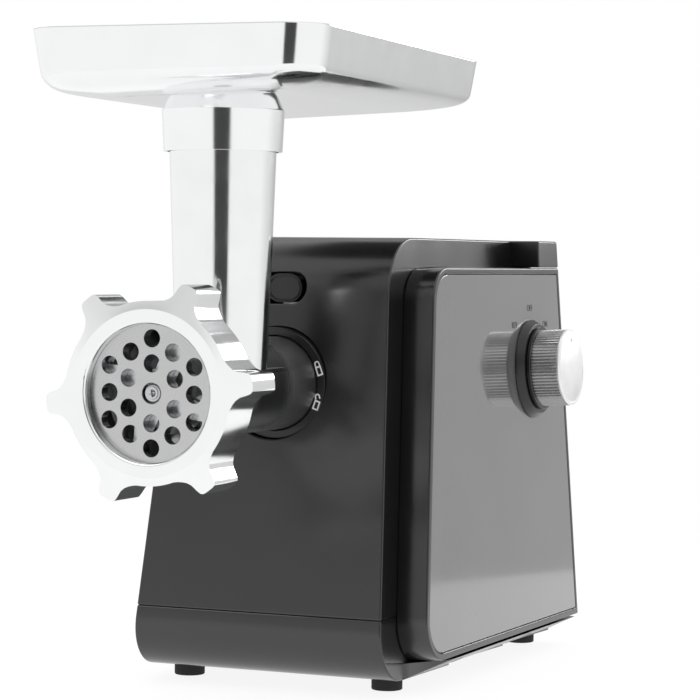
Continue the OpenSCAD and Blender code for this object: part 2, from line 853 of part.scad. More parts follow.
module armature_winding() {
    color("#a3572b") placed() difference() {
        union() {
            on_motor(core_y - 8, 8, core_r - 3);
            on_motor(core_y + core_l, 8, core_r - 3);
        }
        on_motor(core_y - 9, core_l + 30, rotor_r);
    }
}

module commutator() {
    color("#b5673a") placed() difference() {
        on_motor(comm_y, 14, 10);
        on_motor(comm_y - 1, 16, rotor_r);
        for (i = [0:23]) translate([motor_pos[0], comm_y - 1, motor_pos[1]]) rotate([0, i * 15, 0])
            translate([9, 0, -0.25]) cube([2, 16, 0.5]);
    }
}

module cooling_fan() {
    fan_y = box_back + box_wall + 8;
    color(dark_ink) placed() difference() {
        union() {
            on_motor(fan_y, 9, 7);
            on_motor(fan_y + 7, 2, 27);
            for (i = [0:10]) translate([motor_pos[0], fan_y, motor_pos[1]]) rotate([0, i * 360 / 11, 0])
                translate([6, 0, -0.8]) cube([20.5, 8, 1.6]);
        }
        on_motor(fan_y - 1, 12, rotor_r);
    }
}

module stator_core() {
    color(steel_ink) placed() difference() {
        intersection() {
            on_motor(core_y, core_l, stator_half + 7);
            translate([motor_pos[0] - stator_half - 8, core_y, motor_pos[1] - stator_half])
                cube([2 * stator_half + 16, core_l, 2 * stator_half]);
        }
        on_motor(core_y - 1, core_l + 2, core_r + air_gap);
        for (s = [-1, 1]) {
            translate([motor_pos[0] + s * 20 - 5, core_y - 1, motor_pos[1] - 14]) cube([10, core_l + 2, 28]);
            rod(core_y - 1, core_l + 2, 1.8, s * motor_screw_x, motor_pos[1]);
        }
    }
}

// Two field coils, each a loop around one pole
module field_coils() {
    color("#a3572b") placed() for (s = [-1, 1]) difference() {
        translate([motor_pos[0] - 24.8, core_y - 6, motor_pos[1] + s * 8 - 4.5]) cube([49.6, core_l + 12, 9]);
        translate([motor_pos[0] - 15.2, core_y - eps, motor_pos[1] + s * 8 - 6]) cube([30.4, core_l + 2 * eps, 12]);
        on_motor(core_y - 10, core_l + 20, core_r + air_gap);
    }
}

module motor_end_bracket() {
    color(grey_ink) placed() difference() {
        union() {
            translate([motor_pos[0] - motor_screw_x - 5, bracket_y, motor_pos[1] - 8])
                cube([2 * motor_screw_x + 10, 4, 16]);
            on_motor(bracket_y, 10, 13);
            translate([motor_pos[0] - 24, bracket_y, motor_pos[1] - stator_half]) cube([48, 4, stator_half - 5]);
        }
        on_motor(bracket_y - 1, 9, 11);
        on_motor(bracket_y - 1, 20, 5);
        for (s = [-1, 1]) rod(bracket_y - 1, 20, 1.8, s * motor_screw_x, motor_pos[1]);
    }
}

// Two long screws from the end bracket through the stator into the gearbox cover
module motor_screws() {
    color(steel_ink) placed() for (s = [-1, 1]) {
        rod(box_back, bracket_y + 4 - box_back, 1.8, s * motor_screw_x, motor_pos[1]);
        rod(bracket_y + 4, 2.5, 3.6, s * motor_screw_x, motor_pos[1]);
    }
}

module brush_holders() {
    color(dark_ink) placed() for (s = [-1, 1]) difference() {
        translate([motor_pos[0] + s * 22 - 8, comm_y + 2, motor_pos[1] - 5]) cube([16, bracket_y - comm_y - 2, 10]);
        translate([motor_pos[0] + s * 20 - 14, comm_y + 4, motor_pos[1] - 3]) cube([28, 6, 6]);
    }
}

module carbon_brushes() {
    color("#333333") placed() for (s = [-1, 1])
        translate([motor_pos[0] + s * 19.4 - 9, comm_y + 4, motor_pos[1] - 3]) cube([18, 6, 6]);
}

// A ball bearing drawn as two rings with a full ring of balls between them
module ball_bearing(y0) {
    difference() {
        union() {
            on_motor(y0, 7, 11);
        }
        on_motor(y0 - 1, 9, rotor_r + run);
        for (y = [y0 - 1, y0 + 6]) difference() {
            on_motor(y, 2, 9);
            on_motor(y - 1, 4, 5.2);
        }
    }
}

module front_bearing() {
    color(metal_ink) placed() ball_bearing(box_back + 1);
}

module rear_bearing() {
    color(metal_ink) placed() ball_bearing(bracket_y + 1);
}

// Rubber saddle between the motor's end bracket and the base
module motor_saddle() {
    color(dark_ink) placed() difference() {
        translate([-26, bracket_y - 3, saddle_low]) cube([52, 10, 8]);
        translate([-24, bracket_y, saddle_low + 4]) cube([48, 4, 10]);
    }
}

// ---------- grinding head ----------

module head_casting() {
    color(metal_ink) placed() difference() {
        union() {
            turned([
                [0, bell_front], [bell_r, bell_front], [bell_r, bell_back], [bell_r - 1, bell_back + 1],
                [barrel_r, cone_back], [barrel_r, barrel_back], [0, barrel_back]
            ]);
            translate([0, throat_y, axis_h])
                cylinder(h = throat_h, r1 = throat_foot_d / 2 - 0.7, r2 = throat_d / 2);
        }
        turned([
            [0, bell_front - 1], [bell_bore, bell_front - 1], [bell_bore, plate_back],
            [knife_room, plate_back], [knife_room, knife_back + 1],
            [bore_r, knife_back + 12], [bore_r, barrel_back - 6],
            [bush_seat, barrel_back - 6], [bush_seat, barrel_back + 1], [0, barrel_back + 1]
        ]);
        translate([0, throat_y, axis_h]) cylinder(
            h = throat_h + 1, r1 = throat_foot_d / 2 - 0.7 - throat_wall, r2 = throat_d / 2 - throat_wall
        );
        // notch that the latch pin drops into
        rod(barrel_back - 3, 4, 2, 0, axis_h + bush_r + 7);
        // keyway for the plate
        translate([-2, bell_front - 1, axis_h + bell_bore - 1.5]) cube([4, plate_back - bell_front + 1, 3]);
    }
}

bush_seat = bore_r - 3;

module auger_bush() {
    color("#e8e4da") placed() difference() {
        rod(barrel_back - 6, 6, bush_seat);
        rod(barrel_back - 8, 12, neck_r + run);
    }
}

neck_r = 8;

// One grip of the ring nut, pointing along +X, with a wide hollow root
module grip_2d() {
    r = ring_d / 2;
    tip = r + grip_out;
    flank = [[r - 1.6, 10], [r + 0.5, 7.4], [r + 2, 5.9], [r + 4, 4.9], [tip - 1, 4], [tip, 2.8]];
    polygon(concat(flank, [for (i = [5:-1:0]) [flank[i][0], -flank[i][1]]]));
}

module ring_nut() {
    lip = plate_front + ring_front - 0.2;
    color(metal_ink) placed() {
        difference() {
            along_y(-ring_front, ring_depth) translate([0, axis_h]) rotate(ring_turn) {
                circle(ring_d / 2);
                for (i = [0:5]) rotate(i * 60) grip_2d();
            }
            rod(-ring_front - 1, ring_depth + 2, ring_open_d / 2);
            rod(-ring_front + lip, ring_depth, bell_r + slack);
        }
    }
}

// Holes of the plate: twelve around the rim and six around the middle
function plate_holes() = concat(
    [for (i = [0:5]) [2 * hole_pitch, 90 + 60 * i]],
    [for (i = [0:5]) [sqrt(3) * hole_pitch, 60 + 60 * i]],
    [for (i = [0:5]) [1.09 * hole_pitch, 90 + 60 * i]]
);

module grinding_plate() {
    color(metal_ink) placed() difference() {
        union() {
            rod(plate_front, plate_t, plate_d / 2);
            translate([-1.8, plate_front + 1.2, axis_h + plate_d / 2 - 1]) cube([3.6, plate_t - 1.2, 2.2]);
        }
        for (h = plate_holes())
            rod(plate_front - 1, plate_t + 2, plate_hole_d / 2, h[0] * cos(h[1]), axis_h + h[0] * sin(h[1]));
        rod(plate_front - 1, plate_t + 2, pin_r + 0.6);
    }
}

pin_r = 3.6;

// Four-armed knife on the square of the auger
module knife() {
    color(steel_ink) placed() difference() {
        union() {
            rod(plate_back + 0.1, knife_t - 0.1, 9.5);
            translate([0, 0, axis_h]) for (i = [0:3]) rotate([0, 20 + i * 90, 0])
                along_y(plate_back + 0.1, 3.6) polygon([[0, -5], [12, -6], [knife_r, -2.5], [knife_r, 2.5], [0, 5]]);
        }
        along_y(plate_back - 1, knife_t + 3) translate([0, axis_h]) square(2 * knife_sq, center = true);
    }
}

knife_sq = 4.5;

// Feed screw: core, one long flight, the square for the knife and the shank that is driven
module auger() {
    flight_r = bore_r - 0.5;
    flight_l = barrel_back - 8 - knife_back;
    core = 7;
    color(metal_ink) placed() difference() {
        union() {
            rod(knife_back + 0.2, flight_l, core, 0, axis_h, neck_r + 2);
            rod(knife_back + flight_l, barrel_back - knife_back - flight_l + 1, neck_r);
            along_y(plate_back + 0.2, knife_t + 2) translate([0, axis_h])
                square(2 * knife_sq - 0.1, center = true);
            along_y(barrel_back, wheel_out_y + 4 - barrel_back) translate([0, axis_h])
                square(shank_w, center = true);
            translate([0, knife_back + flight_l - 1, axis_h]) rotate([90, 0, 0])
                linear_extrude(flight_l - 2, twist = 3.25 * 360, slices = 78, $fn = 12)
                    translate([2, -3]) square([flight_r - 2, 6]);
        }
        rod(plate_back - 1, 9, pin_r - 1);
    }
}

// Hardened pin on the front of the auger, which turns in the plate
module auger_pin() {
    color(steel_ink) placed() {
        rod(plate_front + 0.4, plate_t - 0.4, pin_r);
        rod(plate_back, 8, pin_r - 1);
    }
}

// ---------- hopper tray ----------

// Corners of the tray at a height, shrunk on every side, falling to the left by dip
module tray_slab(z, shrink, r, dip = 0) {
    w = tray_w / 2 - shrink;
    y0 = -tray_front + shrink;
    y1 = tray_l - tray_front - shrink;
    for (x = [-w + r, w - r], y = [y0 + r, y1 - r])
        translate([x, y, z + dip * x / tray_w]) cylinder(h = eps, r = r, $fn = 32);
}

// The whole pan as one rounded block, moved in by m
module tray_block(m) {
    low = rim_z - tray_wall_h - tray_belly;
    hull() {
        tray_slab(rim_z - eps + m, m, tray_r - m);
        tray_slab(low + tray_belly + m, 2.7 + m, 16 - m, tray_dip * 0.3);
        tray_slab(low + tray_belly * 0.45 + m, 6 + m, 16, tray_dip * 0.8);
        tray_slab(low + tray_belly * 0.14 + m, 14 + m, 16, tray_dip);
        tray_slab(low + m, 28 + m, 16, tray_dip);
    }
}

module hopper_tray() {
    sleeve_r = throat_d / 2 + slack;
    neck_in = throat_d / 2 - 4;
    color(metal_ink) placed() translate([0, throat_y, 0]) rotate(tray_turn) difference() {
        union() {
            difference() {
                tray_block(0);
                tray_block(tray_t);
            }
            translate([0, 0, sleeve_top - sleeve_h]) cylinder(h = sleeve_h, r1 = sleeve_r + 1.5, r2 = sleeve_r + 2.4);
            translate([0, 0, sleeve_top - eps]) cylinder(h = 8, r1 = sleeve_r + 2.4, r2 = sleeve_r - 1);
        }
        translate([0, 0, sleeve_top - sleeve_h - 1]) cylinder(h = sleeve_h - 1 + slack, r = sleeve_r);
        translate([0, 0, sleeve_top - 4]) cylinder(h = rim_z, r = neck_in);
    }
}

main_housing();
base_pan();
rear_cover();
left_side_cover();
right_side_cover();
left_side_panel();
right_side_panel();
hub_collar();
knob_bezel();
switch_body();
switch_rotor();
cord_gland();
rubber_feet();
foot_screws();
base_screws();
rear_cover_screws();
release_button();
latch_arm();
button_guide();
button_spring();
knob_flange();
knob_barrel();
knob_cap();
gearbox_housing();
gearbox_cover();
gearbox_screws();
output_bush();
output_wheel();
output_shaft();
middle_gear();
first_gear();
middle_axle();
first_axle();
motor_shaft();
armature_core();
armature_winding();
commutator();
cooling_fan();
stator_core();
field_coils();
motor_end_bracket();
motor_screws();
brush_holders();
carbon_brushes();
front_bearing();
rear_bearing();
motor_saddle();
head_casting();
auger_bush();
ring_nut();
grinding_plate();
knife();
auger();
auger_pin();
hopper_tray();
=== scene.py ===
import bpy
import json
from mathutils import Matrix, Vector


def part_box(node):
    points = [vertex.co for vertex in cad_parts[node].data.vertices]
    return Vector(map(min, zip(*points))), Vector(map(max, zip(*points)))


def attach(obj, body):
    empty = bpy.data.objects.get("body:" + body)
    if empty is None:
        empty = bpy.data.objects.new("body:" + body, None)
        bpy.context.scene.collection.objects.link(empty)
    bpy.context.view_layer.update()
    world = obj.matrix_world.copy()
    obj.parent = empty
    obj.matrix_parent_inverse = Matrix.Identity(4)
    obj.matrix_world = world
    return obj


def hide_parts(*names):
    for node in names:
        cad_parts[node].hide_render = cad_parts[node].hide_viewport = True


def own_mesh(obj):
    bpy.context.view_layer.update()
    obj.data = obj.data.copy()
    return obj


bl_info = {
    "name": "Meat Grinder",
    "version": (1, 0, 0),
    "blender": (4, 5, 0),
    "location": "View3D > Sidebar > Grinder",
    "description": "Builds an electric meat grinder on its mechanical frame, with its studio",
    "category": "Object",
}

import json
import math

import bpy
from bpy.props import FloatProperty, FloatVectorProperty, IntProperty, PointerProperty
from mathutils import Matrix, Vector

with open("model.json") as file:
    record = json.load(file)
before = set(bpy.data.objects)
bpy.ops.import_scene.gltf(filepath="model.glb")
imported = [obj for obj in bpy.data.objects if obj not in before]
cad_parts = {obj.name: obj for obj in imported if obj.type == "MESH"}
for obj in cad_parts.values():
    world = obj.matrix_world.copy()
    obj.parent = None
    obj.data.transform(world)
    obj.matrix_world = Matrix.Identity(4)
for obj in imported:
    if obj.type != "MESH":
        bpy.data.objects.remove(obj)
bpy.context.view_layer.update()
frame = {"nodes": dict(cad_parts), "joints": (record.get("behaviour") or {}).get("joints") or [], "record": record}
NODES = frame["nodes"]
JOINTS = {joint["name"]: joint for joint in frame["joints"]}
MOUNTS = {mount["name"]: mount for mount in frame["record"]["mounts"]}
BODY_OF = {n: body for body, names in frame["record"]["behaviour"]["bodies"].items() for n in names}
SLOT_OF = {part["node"]: part["material_slot"] for part in frame["record"]["subparts"]}

# The drive axis, and the plane where the front face crosses its height
DRIVE = Vector(JOINTS["drive_spin"]["pos_m"])
FACE_Y = DRIVE.y - 0.020
KNOB_AT = Vector(JOINTS["knob_turn"]["pos_m"])
KNOB_AXIS = Vector(JOINTS["knob_turn"]["axis"]).normalized()
THROAT = Vector(MOUNTS["feed_throat"]["pos_m"])
AXIS_Y = Vector((0, 1, 0))
AXIS_Z = Vector((0, 0, 1))
WELD = 2e-6  # metres; points nearer than this are one


def at(x, y, z):
    """A point in millimetres: x from the drive axis, y behind the front face, z above the table."""
    return Vector((DRIVE.x + x / 1000, FACE_Y + y / 1000, z / 1000))


def mm(*values):
    return Vector([value / 1000 for value in values])


# ---------------------------------------------------------------- modelling helpers


def only(*objects):
    """Leaves edit mode, deselects everything and selects just these objects, the first one active."""
    if bpy.context.object and bpy.context.object.mode != "OBJECT":
        bpy.ops.object.mode_set(mode="OBJECT")
    bpy.ops.object.select_all(action="DESELECT")
    for obj in objects:
        obj.select_set(True)
    if objects:
        bpy.context.view_layer.objects.active = objects[0]


def edit(obj, select=True, kind="VERT"):
    only(obj)
    bpy.ops.object.mode_set(mode="EDIT")
    bpy.ops.mesh.select_mode(type=kind)
    bpy.ops.mesh.select_all(action="SELECT" if select else "DESELECT")


def leave():
    bpy.ops.object.mode_set(mode="OBJECT")


def wire(name, points, closed=False, face=False):
    """Starts from one vertex and extrudes it from point to point; may close the loop or fill it."""
    only()
    bpy.ops.mesh.primitive_plane_add(size=0.001, location=points[0])
    obj = bpy.context.object
    obj.name = name
    bpy.ops.object.transform_apply(location=True, rotation=True, scale=True)
    edit(obj)
    bpy.ops.mesh.merge(type="CENTER")
    for before, after in zip(points, points[1:]):
        bpy.ops.mesh.extrude_vertices_move(TRANSFORM_OT_translate={"value": after - before})
    if closed and not face:
        leave()
        obj.data.vertices[0].select = True
        bpy.ops.object.mode_set(mode="EDIT")
        bpy.ops.mesh.edge_face_add()
    if face:
        bpy.ops.mesh.select_all(action="SELECT")
        bpy.ops.mesh.edge_face_add()
    leave()
    return obj


def outward(obj):
    """Closes doubled vertices and turns every face outwards."""
    edit(obj)
    bpy.ops.mesh.remove_doubles(threshold=WELD)
    bpy.ops.mesh.normals_make_consistent(inside=False)
    leave()
    return obj


def lathe(name, points, centre, axis, steps=96, closed=False):
    """Turns a profile of points about an axis. closed makes the profile itself a loop, as for a ring."""
    obj = wire(name, points, closed=closed)
    edit(obj)
    bpy.ops.mesh.spin(steps=steps, angle=2 * math.pi, center=centre, axis=axis)
    leave()
    return outward(obj)


def turned_y(name, profile, steps=96, closed=False):
    """A lathe about the drive axis; the profile is [radius, y] in millimetres."""
    points = [Vector((DRIVE.x + r / 1000, FACE_Y + y / 1000, DRIVE.z)) for r, y in profile]
    return lathe(name, points, DRIVE, AXIS_Y, steps, closed)


def slab(name, points, push):
    """Fills an outline and pushes it out into a solid."""
    obj = wire(name, points, face=True)
    edit(obj)
    bpy.ops.mesh.extrude_region_move(TRANSFORM_OT_translate={"value": push})
    leave()
    return outward(obj)


def apply_modifier(obj, kind, **settings):
    only(obj)
    modifier = obj.modifiers.new(kind.lower(), kind)
    for key, value in settings.items():
        setattr(modifier, key, value)
    bpy.ops.object.modifier_apply(modifier=modifier.name)
    return obj


def carve(obj, tool, operation="DIFFERENCE"):
    apply_modifier(obj, "BOOLEAN", operation=operation, object=tool, solver="EXACT")
    bpy.data.objects.remove(tool, do_unlink=True)
    return obj


def round_edges(obj, width, segments=3, angle=30):
    return apply_modifier(
        obj, "BEVEL", width=width / 1000, segments=segments, limit_method="ANGLE",
        angle_limit=math.radians(angle), use_clamp_overlap=False, miter_outer="MITER_ARC",
    )


def smooth(obj, angle=32, weighted=True):
    only(obj)
    bpy.ops.object.shade_smooth_by_angle(angle=math.radians(angle))
    if weighted:
        apply_modifier(obj, "WEIGHTED_NORMAL", keep_sharp=True, weight=80)
    return obj


def joined(name, *objects):
    only(*objects)
    if len(objects) > 1:
        bpy.ops.object.join()
    objects[0].name = name
    return objects[0]


def merged_copy(node, name):
    """A copy of a CAD piece with its loose triangles merged into whole faces."""
    obj = NODES[node].copy()
    obj.data = NODES[node].data.copy()
    obj.parent = None
    for key in list(obj.keys()):
        del obj[key]
    bpy.context.scene.collection.objects.link(obj)
    obj.name = name
    edit(obj)
    bpy.ops.mesh.remove_doubles(threshold=WELD)
    bpy.ops.mesh.dissolve_limited(angle_limit=math.radians(0.6))
    leave()
    obj.data.materials.clear()
    return obj


def place(obj, material, body, slot, *nodes):
    """Gives a finished piece its finish and its place in the mechanism."""
    obj.data.materials.clear()
    obj.data.materials.append(material)
    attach(obj, body)
    if nodes:
        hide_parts(*nodes)
    return obj


def arc(centre, radius, start, end, steps):
    """Points on an arc in a plane, angles in degrees."""
    return [
        (
            centre[0] + radius * math.cos(math.radians(start + (end - start) * i / steps)),
            centre[1] + radius * math.sin(math.radians(start + (end - start) * i / steps)),
        )
        for i in range(steps + 1)
    ]


# ---------------------------------------------------------------- finishes


class Signal:
    """A value on its way through a finish. Sums on it add Math nodes."""

    def __init__(self, finish, socket):
        self.finish = finish
        self.socket = socket

    def math(self, operation, first, second=0.0):
        return self.finish.node("ShaderNodeMath", {"operation": operation}, {0: first, 1: second})

    def __add__(self, other):
        return self.math("ADD", self, other)

    __radd__ = __add__

    def __mul__(self, other):
        return self.math("MULTIPLY", self, other)

    __rmul__ = __mul__

    def __sub__(self, other):
        return self.math("SUBTRACT", self, other)

    def __rsub__(self, other):
        return self.math("SUBTRACT", other, self)


class Finish:
    """A material built from procedural nodes around one principled shader."""

    made = {}

    def __init__(self, name, **constants):
        self.material = bpy.data.materials.new(name)
        self.material.use_nodes = True
        self.tree = self.material.node_tree
        self.shader = self.tree.nodes["Principled BSDF"]
        for key, value in constants.items():
            self.shader.inputs[key.replace("_", " ")].default_value = value
        self.position = self.node("ShaderNodeTexCoord", out="Object")
        Finish.made[name] = self.material

    def node(self, kind, settings=None, inputs=None, out=0):
        made = self.tree.nodes.new(kind)
        for key, value in (settings or {}).items():
            setattr(made, key, value)
        for key, value in (inputs or {}).items():
            if isinstance(value, Signal):
                self.tree.links.new(value.socket, made.inputs[key])
            else:
                made.inputs[key].default_value = value
        return Signal(self, made.outputs[out])

    def noise(self, size, detail=3.0, roughness=0.5, stretch=None):
        """Cloudy noise whose patches are about size millimetres across."""
        where = self.position
        if stretch:
            where = self.node("ShaderNodeMapping", None, {"Vector": where, "Scale": stretch})
        return self.node(
            "ShaderNodeTexNoise", None,
            {"Vector": where, "Scale": 1000 / size, "Detail": detail, "Roughness": roughness},
        )

    def spread(self, signal, low, high, out_low, out_high):
        """Stretches a value from one range to another, held at its ends."""
        return self.node(
            "ShaderNodeMapRange", {"clamp": True},
            {"Value": signal, "From Min": low, "From Max": high, "To Min": out_low, "To Max": out_high},
        )

    def feed(self, name, signal):
        self.tree.links.new(signal.socket, self.shader.inputs[name])
        return self

    def bump(self, height, distance, strength=1.0):
        """Raises the surface by up to distance millimetres."""
        self.feed("Normal", self.node(
            "ShaderNodeBump", None, {"Height": height, "Distance": distance / 1000, "Strength": strength},
        ))
        return self


def scaled(colour, factor):
    return tuple(min(1.0, part * factor) for part in colour)


def shade(finish, mask, first, second):
    """Mixes two colours by a mask on the finish; kept apart so that colours stay off Math nodes."""
    node = finish.tree.nodes.new("ShaderNodeMix")
    node.data_type = "RGBA"
    finish.tree.links.new(mask.socket, node.inputs[0])
    node.inputs[6].default_value = (*first, 1.0)
    node.inputs[7].default_value = (*second, 1.0)
    return Signal(finish, node.outputs[2])


def moulded_plastic(name, colour, roughness, grain=0.35, depth=0.018, coat=0.0, shine=0.5):
    """Moulded plastic: fine spark texture, a slightly cloudy sheen and a little colour drift."""
    finish = Finish(name, Specular_IOR_Level=shine, IOR=1.5, Coat_Roughness=0.1)
    finish.shader.inputs["Coat Weight"].default_value = coat
    cloud = finish.noise(38, 3)
    grainy = finish.noise(grain, 2, 0.6)
    finish.feed("Base Color", shade(finish, cloud, scaled(colour, 0.86), scaled(colour, 1.14)))
    mottled = cloud + 0.35 * grainy
    finish.feed("Roughness", finish.spread(mottled, 0.45, 0.95, roughness - 0.04, roughness + 0.05))
    finish.bump(grainy, depth)
    return finish.material


def polished_metal(name, colour, roughness, swirl=0.02, cast=0.0, cast_size=9.0):
    """Polished metal: faint clouding in its shine, hairline scratches and a trace of unevenness."""
    finish = Finish(name, Metallic=1.0, Specular_IOR_Level=0.5)
    cloud = finish.noise(14, 4)
    hair = finish.noise(0.9, 2, 0.5, (1.0, 1.0, 14.0))
    uneven = finish.noise(cast_size, 2)
    finish.feed("Base Color", shade(finish, cloud, scaled(colour, 0.965), scaled(colour, 1.03)))
    finish.feed("Roughness", finish.spread(cloud + 0.4 * hair, 0.5, 0.95, roughness * 0.8, roughness * 1.3))
    finish.bump(hair * swirl + uneven * cast, 0.1)
    return finish.material


def head_metal(name, colour, roughness):
    """Polished metal that turns rougher and fine-blasted on the barrel behind the throat, where painted shade
    darkens its colour.
    """
    finish = Finish(name, Metallic=1.0)
    apart = finish.node("ShaderNodeSeparateXYZ", None, {0: finish.position}, out="Y")
    # mask of the barrel behind the throat, below its top: it carries painted shade into the colour, and also the
    # roughness and grit
    back = finish.spread(apart, THROAT.y + 0.018, THROAT.y + 0.030, 0.0, 1.0)
    up = finish.node("ShaderNodeSeparateXYZ", None, {0: finish.position}, out="Z")
    back = back * finish.spread(up, DRIVE.z + 0.0200, DRIVE.z + 0.0206, 1.0, 0.0)
    cloud = finish.noise(14, 4)
    grit = finish.noise(0.6, 2)
    shine = finish.spread(cloud, 0.35, 0.65, roughness * 0.8, roughness * 1.25)
    # painted shade: the masked barrel is mixed towards dark grey in its base colour
    finish.feed("Base Color", shade(finish, back * 0.9 + 0.1 * cloud, colour, (0.30, 0.30, 0.30)))
    finish.feed("Roughness", shine + back * 0.3)
    finish.bump(grit * back + 0.15 * cloud, 0.05)
    return finish.material


def ground_steel(name, colour, roughness, centre, axis, depth=0.01):
    """Faced steel: fine turning rings about an axis, drawn on Object coordinates."""
    finish = Finish(name, Metallic=1.0)
    across = {"X": (0.0, 1.0, 1.0), "Y": (1.0, 0.0, 1.0)}[axis]
    moved = finish.node(
        "ShaderNodeVectorMath", {"operation": "SUBTRACT"}, {0: finish.position, 1: tuple(centre)})
    flat = finish.node("ShaderNodeVectorMath", {"operation": "MULTIPLY"}, {0: moved, 1: across})
    radius = finish.node("ShaderNodeVectorMath", {"operation": "LENGTH"}, {0: flat}, out="Value")
    line = finish.node("ShaderNodeCombineXYZ", None, {0: radius * 9000.0, 1: 0.0, 2: 0.0})
    grooves = finish.node("ShaderNodeTexNoise", None, {"Vector": line, "Scale": 1.0, "Detail": 2.0})
    cloud = finish.noise(6, 3)
    finish.feed("Base Color", shade(finish, cloud, scaled(colour, 0.93), scaled(colour, 1.05)))
    worn = grooves + 0.5 * cloud
    finish.feed("Roughness", finish.spread(worn, 0.5, 1.0, roughness * 0.8, roughness * 1.25))
    finish.bump(grooves, depth)
    return finish.material


def soft_rubber(name, colour):
    finish = Finish(name, Specular_IOR_Level=0.3)
    dust = finish.noise(3.5, 4)
    fine = finish.noise(0.4, 2)
    finish.feed("Base Color", shade(finish, dust, colour, scaled(colour, 1.7)))
    finish.feed("Roughness", finish.spread(dust, 0.35, 0.7, 0.72, 0.88))
    finish.bump(fine, 0.02)
    return finish.material


def striped_metal(name, first, second, roughness, pitch, axis):
    """Stacked sheet or wound wire: narrow bands across one axis."""
    finish = Finish(name, Metallic=1.0)
    apart = finish.node("ShaderNodeSeparateXYZ", None, {0: finish.position}, out=axis)
    wave = finish.node("ShaderNodeMath", {"operation": "SINE"}, {0: apart * (2 * math.pi * 1000 / pitch)})
    band = finish.spread(wave, -0.8, 0.8, 0.0, 1.0)
    drift = finish.noise(4, 3)
    finish.feed("Base Color", shade(finish, band * 0.7 + 0.3 * drift, first, second))
    finish.feed("Roughness", finish.spread(drift, 0.3, 0.7, roughness - 0.05, roughness + 0.08))
    finish.bump(band, 0.12)
    return finish.material


def finishes():
    """Makes every finish once, from the sizes and colours on the panel."""
    if Finish.made:
        return Finish.made
    look = bpy.context.scene.grinder_look
    moulded_plastic("black_shell", tuple(look.shell_colour), look.shell_roughness, 0.35, 0.006, 0.0, 0.85)
    moulded_plastic("black_trim", tuple(look.trim_colour), 0.26, 0.3, 0.006)
    moulded_plastic("grey_panel", tuple(look.panel_colour), 0.07, 0.25, 0.0012, coat=1.0)
    moulded_plastic("grey_moulding", (0.30, 0.30, 0.31), 0.45)
    moulded_plastic("white_polymer", (0.80, 0.79, 0.75), 0.4)
    moulded_plastic("carbon", (0.03, 0.03, 0.03), 0.6, 0.2, 0.03)
    moulded_plastic("white_mark", (0.86, 0.86, 0.86), 0.5, 0.2, 0.002)
    polished_metal("polished_aluminium", tuple(look.metal_colour), look.metal_roughness, 0.006, 0.02)
    head_metal("head_metal", tuple(look.metal_colour), look.metal_roughness)
    polished_metal("cast_aluminium", (0.68, 0.69, 0.70), 0.3, 0.05, 0.3, 2.5)
    polished_metal("zinc_steel", (0.62, 0.63, 0.64), 0.28, 0.05)
    polished_metal("turned_steel", (0.56, 0.57, 0.58), 0.25, 0.06)
    polished_metal("sintered_bronze", (0.60, 0.42, 0.20), 0.38, 0.05, 0.4, 0.8)
    ground_steel("plate_steel", (0.55, 0.55, 0.555), 0.26, DRIVE, "Y")
    ground_steel("knurled_metal", (0.74, 0.74, 0.745), 0.24, KNOB_AT, "X", depth=0.012)
    ground_steel("brushed_face", (0.9, 0.9, 0.9), 0.38, KNOB_AT, "X", depth=0.012)
    soft_rubber("soft_rubber", (0.02, 0.02, 0.02))
    striped_metal("lamination", (0.30, 0.31, 0.33), (0.16, 0.17, 0.18), 0.42, 1.0, 1)
    striped_metal("enamelled_copper", (0.50, 0.16, 0.05), (0.24, 0.07, 0.02), 0.3, 0.9, 1)
    return Finish.made


# ---------------------------------------------------------------- sizes and colours on the panel


class GrinderLook(bpy.types.PropertyGroup):
    shell_colour: FloatVectorProperty(
        name="Shell", description="Colour of the moulded housing", default=(0.0105, 0.0105, 0.011),
        subtype="COLOR", min=0, max=1)
    shell_roughness: FloatProperty(
        name="Shell roughness", description="How matt the housing is", default=0.2,
        subtype="FACTOR", min=0, max=1)
    trim_colour: FloatVectorProperty(
        name="Trim", description="Colour of the collar, button and bezel", default=(0.012, 0.012, 0.013),
        subtype="COLOR", min=0, max=1)
    panel_colour: FloatVectorProperty(
        name="Panel", description="Colour of the glossy side panels", default=(0.13, 0.13, 0.133),
        subtype="COLOR", min=0, max=1)
    metal_colour: FloatVectorProperty(
        name="Metal", description="Colour of the polished metal", default=(0.90, 0.905, 0.91),
        subtype="COLOR", min=0, max=1)
    metal_roughness: FloatProperty(
        name="Metal roughness", description="How dull the polished metal is", default=0.12,
        subtype="FACTOR", min=0, max=1)


class GrinderSizes(bpy.types.PropertyGroup):
    edge_round: FloatProperty(
        name="Edge rounding", description="Radius of the shell's outer edges", default=0.0008,
        unit="LENGTH", min=0)
    tray_turn: FloatProperty(
        name="Tray turn", description="Angle of the tray on the throat", default=math.radians(4.3),
        subtype="ANGLE")
    knurls: IntProperty(
        name="Knurls", description="Ridges round the knob", default=72, min=12)
    ring_turn: FloatProperty(
        name="Ring turn", description="Angle at which the ring nut stopped", default=math.radians(6.5),
        subtype="ANGLE")


class GrinderStudio(bpy.types.PropertyGroup):
    azimuth: FloatProperty(
        name="Azimuth", description="Direction of the camera round the grinder",
        default=math.radians(23.716), subtype="ANGLE")
    elevation: FloatProperty(
        name="Elevation", description="Height angle of the camera", default=math.radians(1.863),
        subtype="ANGLE")
    roll: FloatProperty(
        name="Roll", description="Roll of the camera", default=math.radians(0.584), subtype="ANGLE")
    distance: FloatProperty(
        name="Distance", description="From the camera to the point it looks at", default=1.15,
        unit="LENGTH")
    lens: FloatProperty(
        name="Lens", description="Focal length", default=139.52, unit="CAMERA")
    aim: FloatVectorProperty(
        name="Aim", description="Point that the camera looks at", default=(0.02976, -0.03985, 0.14596),
        subtype="TRANSLATION", unit="LENGTH")


# ---------------------------------------------------------------- housing


